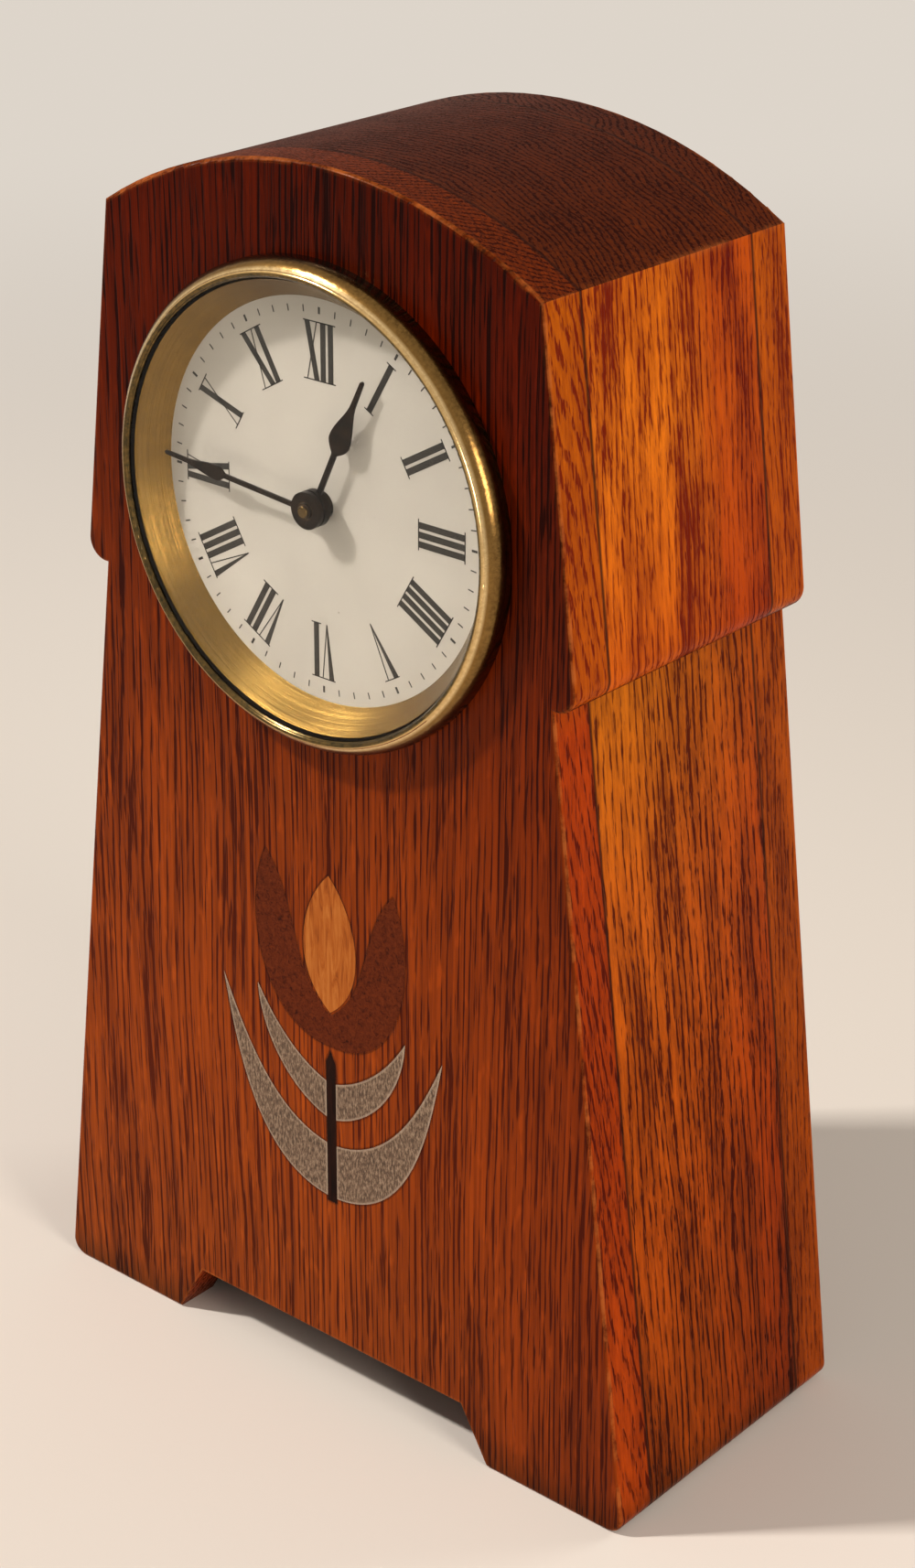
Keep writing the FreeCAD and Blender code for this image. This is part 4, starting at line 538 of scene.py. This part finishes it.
bloom = add(tree, "Math", {0: bloom, 1: 0.4}, operation="MULTIPLY")[0]
body = add(tree, "MixRGB", {0: bloom, 1: body, 2: shade("#8e735c")})[0]
# The saw's burr round each leaf has been rubbed bright
rim = edge_nearness(tree, burr_width, level=0.995, sharp=0.93, most=0.9)
body = add(tree, "MixRGB", {0: rim, 1: body, 2: shade("#c4ae98")})[0]
scrape = add(tree, "Bump", {"Height": hatching, "Strength": 0.4, "Distance": 0.0002})[0]
surface = add(tree, "BsdfPrincipled", {"Base Color": body, "Metallic": 0.55, "Roughness": 0.5,
                                       "Normal": scrape})[0]
add(tree, "OutputMaterial", {"Surface": surface})
dress(["inlay_leaves", "inlay_buds"], pewter)

# The brass: cast and turned bezel and rings, and sheet and rod in the movement, polished and lacquered
# long ago. The lacquer has yellowed and brown tarnish clouds it, which gives warm, broken highlights,
# and lathe marks still run round the sight ring and the back's fittings.
bezel_low, bezel_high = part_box("bezel")
dial_z = (bezel_low[2] + bezel_high[2]) / 2


def lacquered_brass(name, bright, tarnished, roughness, lathe_lines=0.0, tarnish=0.3, dents=1.0,
                    tarnish_and_reflection_zones=None, turned=0.0, facing_lines=1.0):
    """Aged brass. The zones colour the rings round the dial's axis, by radius in mm and colour: real grime
    and tarnish together with painted reflection and painted highlight.

    lathe_lines and dents are how high the turning marks and dents stand, turned how far they spread
    the light across themselves, and facing_lines is 0 for a bore, which has no marks on its face.
    """
    # A lathe leaves some 10 marks to a mm: 2.4 are drawn, as coarse as they need to show. Tarnish comes
    # in clouds of about 4 mm and specks of 0.8 mm
    marks_per_mm = 2.4
    cloud_size = 4
    speck_size = 0.769
    material, tree = new_finish(name)
    mm = in_mm(tree)
    from_axis = add(tree, "VectorMath", {0: mm, 1: (0, 0, dial_z * 1000)}, operation="SUBTRACT")[0]
    flat_way = add(tree, "VectorMath", {0: from_axis, 1: (1, 0, 1)}, operation="MULTIPLY")[0]
    radius = add(tree, "VectorMath", {0: flat_way}, operation="LENGTH")["Value"]
    cloud = add(tree, "TexNoise", {"Vector": mm, "Scale": 1 / cloud_size, "Detail": 5,
                                   "Roughness": 0.65})[0]
    dull = add(tree, "MapRange", {0: cloud}, span=(0.42, 0.68, 0, tarnish))[0]
    body = add(tree, "MixRGB", {0: dull, 1: shade(bright), 2: shade(tarnished)})[0]
    # Zone colours: real grime and tarnish, plus painted dark reflection and a painted highlight on the
    # crest
    if tarnish_and_reflection_zones:
        inner, outer = tarnish_and_reflection_zones[0][0], tarnish_and_reflection_zones[-1][0]
        share = add(tree, "MapRange", {0: radius}, span=(inner, outer, 0, 1))[0]
        ring = add(tree, "ValToRGB", {0: share},
                   stops=[((r - inner) / (outer - inner), shade(colour)) for r, colour in tarnish_and_reflection_zones])[0]
        specks = add(tree, "TexNoise", {"Vector": mm, "Scale": 1 / speck_size, "Detail": 4,
                                        "Roughness": 0.7})[0]
        cover = add(tree, "MapRange", {0: specks}, span=(0.3, 0.62, 0.95, 0.55))[0]
        body = add(tree, "MixRGB", {0: cover, 1: body, 2: ring})[0]
    rough = add(tree, "MapRange", {0: cloud},
                span=(0.3, 0.7, roughness * (1 - dents / 5), roughness * (1 + dents / 2)))[0]
    out = add(tree, "Math", {0: radius, 1: facing_lines}, operation="MULTIPLY")[0]
    depth = add(tree, "SeparateXYZ", {0: from_axis})["Y"]
    lathe_way = add(tree, "CombineXYZ", {0: out, 1: depth})[0]
    lines = add(tree, "TexNoise", {"Vector": lathe_way, "Scale": marks_per_mm, "Detail": 4,
                                   "Roughness": 0.75})[0]
    dented = add(tree, "Math", {0: cloud, 1: dents}, operation="MULTIPLY")[0]
    height = add(tree, "Math", {0: lines, 1: lathe_lines, 2: dented}, operation="MULTIPLY_ADD")[0]
    film = add(tree, "Bump", {"Height": height, "Strength": 0.25, "Distance": 0.0003})[0]
    finish = {"Base Color": body, "Metallic": 1.0, "Roughness": rough, "Normal": film}
    if turned:
        finish["Anisotropic"] = turned
        finish["Tangent"] = add(tree, "Tangent", direction_type="RADIAL", axis="Y")[0]
    add(tree, "OutputMaterial", {"Surface": add(tree, "BsdfPrincipled", finish)[0]})
    return material


# Inside its lip the bezel keeps a line of green-black grime, deepened by a painted dark reflection. Its
# crest is painted bright, partly rubbed and partly a painted highlight, and its outer slope's brown
# tarnish is darkened by a painted dark reflection
dress(["bezel"], lacquered_brass(
    "bezel_brass_and_painted_reflection", "#ab864c", "#5c4020", 0.17, tarnish=0.5,
    tarnish_and_reflection_zones=[(43.8, "#1c2822"), (44.75, "#232c26"), (44.95, "#dcb87c"), (45.5, "#f0d29c"),
           (46.0, "#7c5c30"), (47.3, "#3e2c16")]))
# The sight ring is spun, and its fine ridges spread the light into bright bands along its depth
dress(["sight_ring"], lacquered_brass(
    "spun_sight_ring_brass", "#94743a", "#6c4e24", 0.2, lathe_lines=6.0, tarnish=0.25, dents=0.0,
    turned=0.75, facing_lines=0.0))
# The back's fittings are turned and handled, so they stay brighter
dress(["back_ring", "back_door", "door_knob", "winding_key", "set_knob"],
      lacquered_brass("back_brass", "#c29a58", "#8a6836", 0.25, lathe_lines=1.2, dents=0.3))
# The movement's brass was cut from hard sheet and smoothed by hand, and is even and satin
dress(["drum", "dial_plate", "dial_posts", "front_plate", "back_plate", "plate_pillars", "barrel",
       "barrel_cap", "centre_wheel", "third_wheel", "fourth_wheel", "escape_wheel", "minute_wheel",
       "balance_cock", "escape_cock", "clutch_washer"],
      lacquered_brass("movement_brass", "#bf9857", "#8d6b38", 0.3))

# The steel and bronze: hands and screws browned by heat and age until they read as soft black, a hand
# collet and pinion of oiled bronze, and springs, arbors and levers ground bright inside the movement.


def worked_metal(name, colour, second_colour, roughness):
    """Metal with a fine ground face, clouded by a little oil or heat colour."""
    cloud_size = 2
    material, tree = new_finish(name)
    cloud = add(tree, "TexNoise", {"Vector": in_mm(tree), "Scale": 1 / cloud_size, "Detail": 4})[0]
    body = add(tree, "ValToRGB", {0: cloud}, stops=[(0.35, shade(colour)), (0.7, shade(second_colour))])[0]
    rough = add(tree, "MapRange", {0: cloud}, span=(0.3, 0.7, roughness * 0.8, roughness * 1.3))[0]
    ground = add(tree, "Bump", {"Height": cloud, "Strength": 0.15, "Distance": 0.0001})[0]
    surface = add(tree, "BsdfPrincipled", {"Base Color": body, "Metallic": 1.0, "Roughness": rough,
                                           "Normal": ground})[0]
    add(tree, "OutputMaterial", {"Surface": surface})
    return material


dress(["hour_hand", "minute_hand", "hairspring", "pillar_screws", "cock_screws", "click_screw"],
      worked_metal("browned_steel", "#18100c", "#2c1f16", 0.34))
dress(["hand_collet", "cannon_pinion", "hour_wheel"],
      worked_metal("oiled_bronze", "#33261a", "#4a3824", 0.3))
# The arbor's end shows in the minute hand under a brown film of old oil
dress(["centre_arbor"], worked_metal("arbor_steel", "#6a5433", "#4a3a22", 0.25))
dress(["mainspring", "barrel_arbor", "minute_post", "lever", "balance_wheel", "banking_pins",
       "regulator_index", "ratchet_wheel", "click", "click_spring", "hinge_pin", "ring_screws",
       "draw_screws"], worked_metal("ground_steel", "#8d8a86", "#a3a09b", 0.3))

# The dial: vitreous enamel, a white glass powder fired on a copper disc. It is glossy and faintly
# uneven, with a slight cream cast, and a few specks of dirt have lodged in it. Its white is written
# well below full white, so that it doesn't clip where the lamps strike it. Sizes are in mm.
age_size = 33.3
ripple_size = 16.7
speck_spacing = 11.1
speck_core = 0.133
speck_edge = 0.222
enamel, tree = new_finish("fired_enamel")
mm = in_mm(tree)
age = add(tree, "TexNoise", {"Vector": mm, "Scale": 1 / age_size, "Detail": 3})[0]
body = add(tree, "ValToRGB", {0: age}, stops=[(0.3, shade("#a8a29c")), (0.7, shade("#b3ada6"))])[0]
specks = add(tree, "TexVoronoi", {"Vector": mm, "Scale": 1 / speck_spacing})["Distance"]
specks = add(tree, "MapRange", {0: specks},
             span=(speck_core / speck_spacing, speck_edge / speck_spacing, 0.7, 0))[0]
body = add(tree, "MixRGB", {0: specks, 1: body, 2: shade("#4a3a2c")})[0]
ripple = add(tree, "TexNoise", {"Vector": mm, "Scale": 1 / ripple_size, "Detail": 1})[0]
skin = add(tree, "Bump", {"Height": ripple, "Strength": 0.1, "Distance": 0.0005})[0]
surface = add(tree, "BsdfPrincipled", {"Base Color": body, "Roughness": 0.22, "IOR": 1.5,
                                       "Normal": skin})[0]
add(tree, "OutputMaterial", {"Surface": surface})
dress(["dial"], enamel)

# The figures and minute marks: black enamel painted on the fired dial and fired again, so they stand a
# hair proud and shine a little less. The Roman figures stand on the dial's centre, with thick strokes
# and thin ones closed by hairline serifs. Sizes are in mm.
figure_foot = 23.7
figure_top = 34.9
thick_stroke = 1.26
hairline = 0.22
serif_reach = 0.3
letter_widths = {"I": 1.84, "V": 3.5, "X": 3.6}
letter_spreads = {"V": 1.15, "X": 1.2}
mark_foot = 36.4
mark_top = 37.7
hour_mark_width = 0.48
minute_mark_width = 0.24
enamel_lift = 0.04
flow_size = 1.25
dial_face_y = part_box("dial")[0][1]


def stroke(foot_middle, top_middle, foot_width, top_width, foot=figure_foot, top=figure_top):
    """The four corners of a stroke between two heights, cut level at both ends."""
    return [(foot_middle - foot_width / 2, foot), (foot_middle + foot_width / 2, foot),
            (top_middle + top_width / 2, top), (top_middle - top_width / 2, top)]


def figure_strokes(letters):
    """Strokes of a Roman figure, upright on its own middle line, in mm across and out from the centre."""
    left = -sum(letter_widths[letter] for letter in letters) / 2
    strokes = []
    for letter in letters:
        middle = left + letter_widths[letter] / 2
        if letter == "I":
            strokes.append(stroke(middle, middle, thick_stroke, thick_stroke))
        if letter == "V":
            spread = letter_spreads["V"]
            strokes.append(stroke(middle, middle - spread, hairline, thick_stroke))
            strokes.append(stroke(middle, middle + spread, hairline, hairline))
        if letter == "X":
            spread = letter_spreads["X"]
            strokes.append(stroke(middle + spread, middle - spread, thick_stroke, thick_stroke))
            strokes.append(stroke(middle - spread, middle + spread, hairline, hairline))
        serif = letter_widths[letter] + 2 * serif_reach
        strokes.append(stroke(middle, middle, serif, serif, foot=figure_top - hairline))
        if letter != "V":
            strokes.append(stroke(middle, middle, serif, serif, top=figure_foot + hairline))
        left += letter_widths[letter]
    return strokes


def fired_marks(name, shapes):
    """One mesh of thin raised shapes; each shape is its corners across and out, and its clock angle."""
    points = []
    faces = []
    for corners, angle in shapes:
        round_dial = math.radians(angle)
        first = len(points)
        for lift in (0, enamel_lift):
            for across, out in corners:
                x = across * math.cos(round_dial) + out * math.sin(round_dial)
                z = out * math.cos(round_dial) - across * math.sin(round_dial)
                points.append((x / 1000, dial_face_y - lift / 1000, dial_z + z / 1000))
        count = len(corners)
        faces.append(tuple(first + count + step for step in range(count)))
        faces.append(tuple(first + step for step in reversed(range(count))))
        for step in range(count):
            after = (step + 1) % count
            faces.append((first + step, first + after, first + count + after, first + count + step))
    mesh = bpy.data.meshes.new(name)
    mesh.from_pydata(points, [], faces)
    mesh.update()
    piece = bpy.data.objects.new(name, mesh)
    bpy.context.scene.collection.objects.link(piece)
    return piece


black_enamel, tree = new_finish("black_enamel")
flow = add(tree, "TexNoise", {"Vector": in_mm(tree), "Scale": 1 / flow_size, "Detail": 3})[0]
body = add(tree, "ValToRGB", {0: flow}, stops=[(0.3, shade("#080504")), (0.8, shade("#1a110c"))])[0]
surface = add(tree, "BsdfPrincipled", {"Base Color": body, "Roughness": 0.3, "IOR": 1.5})[0]
add(tree, "OutputMaterial", {"Surface": surface})
figures = ["XII", "I", "II", "III", "IIII", "V", "VI", "VII", "VIII", "IX", "X", "XI"]
figure_shapes = [(corners, hour * 30) for hour, letters in enumerate(figures)
                 for corners in figure_strokes(letters)]
mark_shapes = []
for minute in range(60):
    width = minute_mark_width if minute % 5 else hour_mark_width
    mark_shapes.append((stroke(0, 0, width, width, mark_foot, mark_top), minute * 6))
for name, shapes in (("roman_figures", figure_shapes), ("minute_marks", mark_shapes)):
    marks = fired_marks(name, shapes)
    marks.data.materials.append(black_enamel)
    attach(marks, "case")

# The glass: a flat disc of window glass, ground round and held behind the bezel's lip. It is clear, with
# faint smears that only a highlight shows. Window glass has an IOR of about 1.5: here it is 1.2, so that
# the dial behind it is shifted and veiled no more than in the photograph.
smear_size = 20
clear_glass, tree = new_finish("flat_glass")
smear = add(tree, "TexNoise", {"Vector": in_mm(tree), "Scale": 1 / smear_size, "Detail": 3})[0]
rough = add(tree, "MapRange", {0: smear}, span=(0.45, 0.75, 0.0, 0.04))[0]
pane = add(tree, "BsdfPrincipled", {"Base Color": shade("#fbfbf6"), "Roughness": rough, "IOR": 1.2,
                                    "Transmission Weight": 1.0})[0]
# Light on its way to the dial passes straight through, so the pane casts next to no shadow
ray = add(tree, "LightPath")
through = add(tree, "BsdfTransparent", {"Color": (0.96, 0.96, 0.95, 1)})[0]
pane_mix = add(tree, "MixShader", {0: ray["Is Shadow Ray"], 1: pane, 2: through})[0]
add(tree, "OutputMaterial", {"Surface": pane_mix})
dress(["bezel_glass"], clear_glass)
